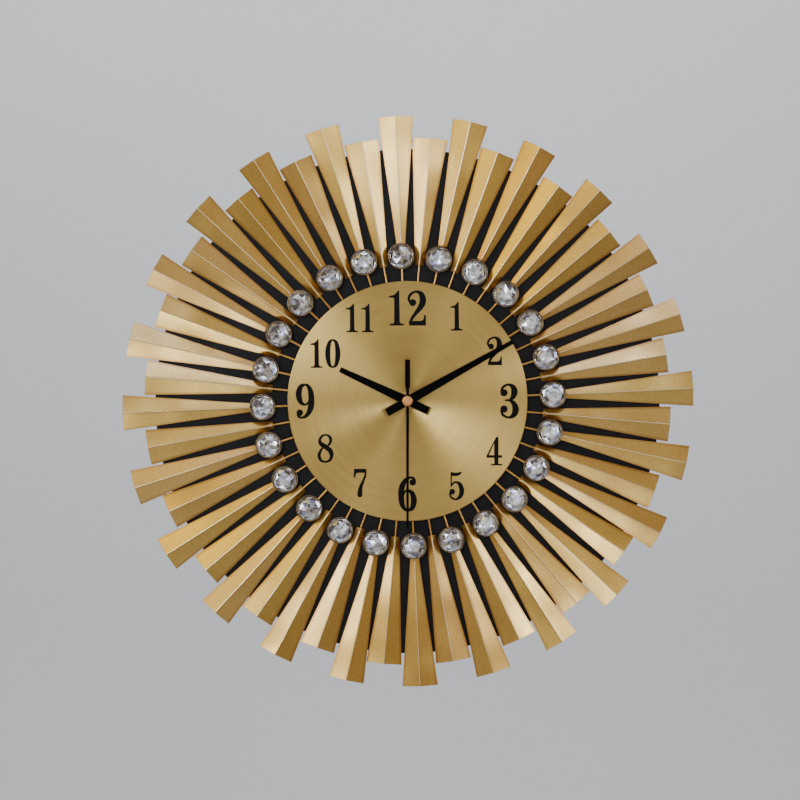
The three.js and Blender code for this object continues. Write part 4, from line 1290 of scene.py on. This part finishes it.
def softbox(name, azimuth, off_axis, around, outwards, radiance, distance=2.2,
            colour=(0.95, 1.0, 1.0)):
    """A soft light aimed at the dial, from a clock direction and an angle off the clock's axis.

    Its sides run around the axis and outwards from it."""
    obj = area_light(name, around, outwards, radiance * math.pi * around * outwards, colour)
    a, o = math.radians(azimuth), math.radians(off_axis)
    towards = Vector((math.sin(a) * math.sin(o), -math.cos(o), math.cos(a) * math.sin(o)))
    tangent = Vector((math.cos(a), 0, -math.sin(a)))
    outward = towards.cross(tangent)
    axes = Matrix((tangent, outward, towards)).transposed()
    obj.matrix_world = Matrix.Translation(towards * distance) @ axes.to_4x4()


def build_lights():
    """Boxes at 46 or 47 degrees light the blades' flanks, those nearer the axis the spun dial."""
    cool = (0.92, 1.0, 1.10)
    softbox("front", 0, 0, 0.6, 0.6, 1.3)
    softbox("dial_key", 302, 22, 0.54, 0.28, 16.5, colour=cool)
    softbox("dial_fill", 74, 24, 0.11, 0.30, 20.0, colour=cool)
    softbox("dial_top", 24, 24, 0.12, 0.26, 7.0, colour=cool)
    softbox("left", 280, 47, 0.44, 0.30, 10.0)
    softbox("warm_left", 312, 46, 0.70, 0.28, 3.2, colour=(1.0, 0.82, 0.10))
    softbox("upper_left", 337, 46, 0.30, 0.26, 2.2)
    softbox("right", 72, 47, 0.36, 0.32, 10.5)
    softbox("low_left", 207, 46, 0.44, 0.30, 8.8)
    softbox("top", 358, 46, 0.22, 0.30, 8.0, colour=(0.88, 1.02, 1.40))
    softbox("top_right", 26, 46, 0.26, 0.30, 0.9)
    softbox("rear", 40, 145, 1.6, 1.2, 2.0, 2.4)
    wash = area_light("backdrop", 4.0, 1.0, 120)
    wash.location = (0, 1.2, 2.6)
    wash.rotation_euler = (math.radians(48), 0, 0)
    world = bpy.data.worlds.new("studio")
    bpy.context.scene.world = world
    world.use_nodes = True
    background = world.node_tree.nodes["Background"]
    background.inputs["Color"].default_value = (0.285, 0.215, 0.122, 1)
    background.inputs["Strength"].default_value = 1.0


CAMERA_PLACE = (-0.0066, -2.126, 0.0009)    # metres


def build_camera():
    """Straight on at the clock, a touch left of its axis, about two metres away."""
    camera = bpy.data.cameras.new("camera")
    camera.sensor_width = 36
    camera.lens = 108.2
    camera.dof.use_dof = False
    obj = bpy.data.objects.new("camera", camera)
    obj.location = CAMERA_PLACE
    obj.rotation_euler = (math.radians(90), 0, 0)
    bpy.context.scene.collection.objects.link(obj)
    bpy.context.scene.camera = obj


build_camera()
build_rays()
build_stones()
build_dial()
build_numerals()
build_hands()
build_fixings()
build_cover()
build_knob()
build_battery()
build_contacts()
build_hanger()
build_case_details()
finish_cad_nodes()
build_floor()
build_lights()
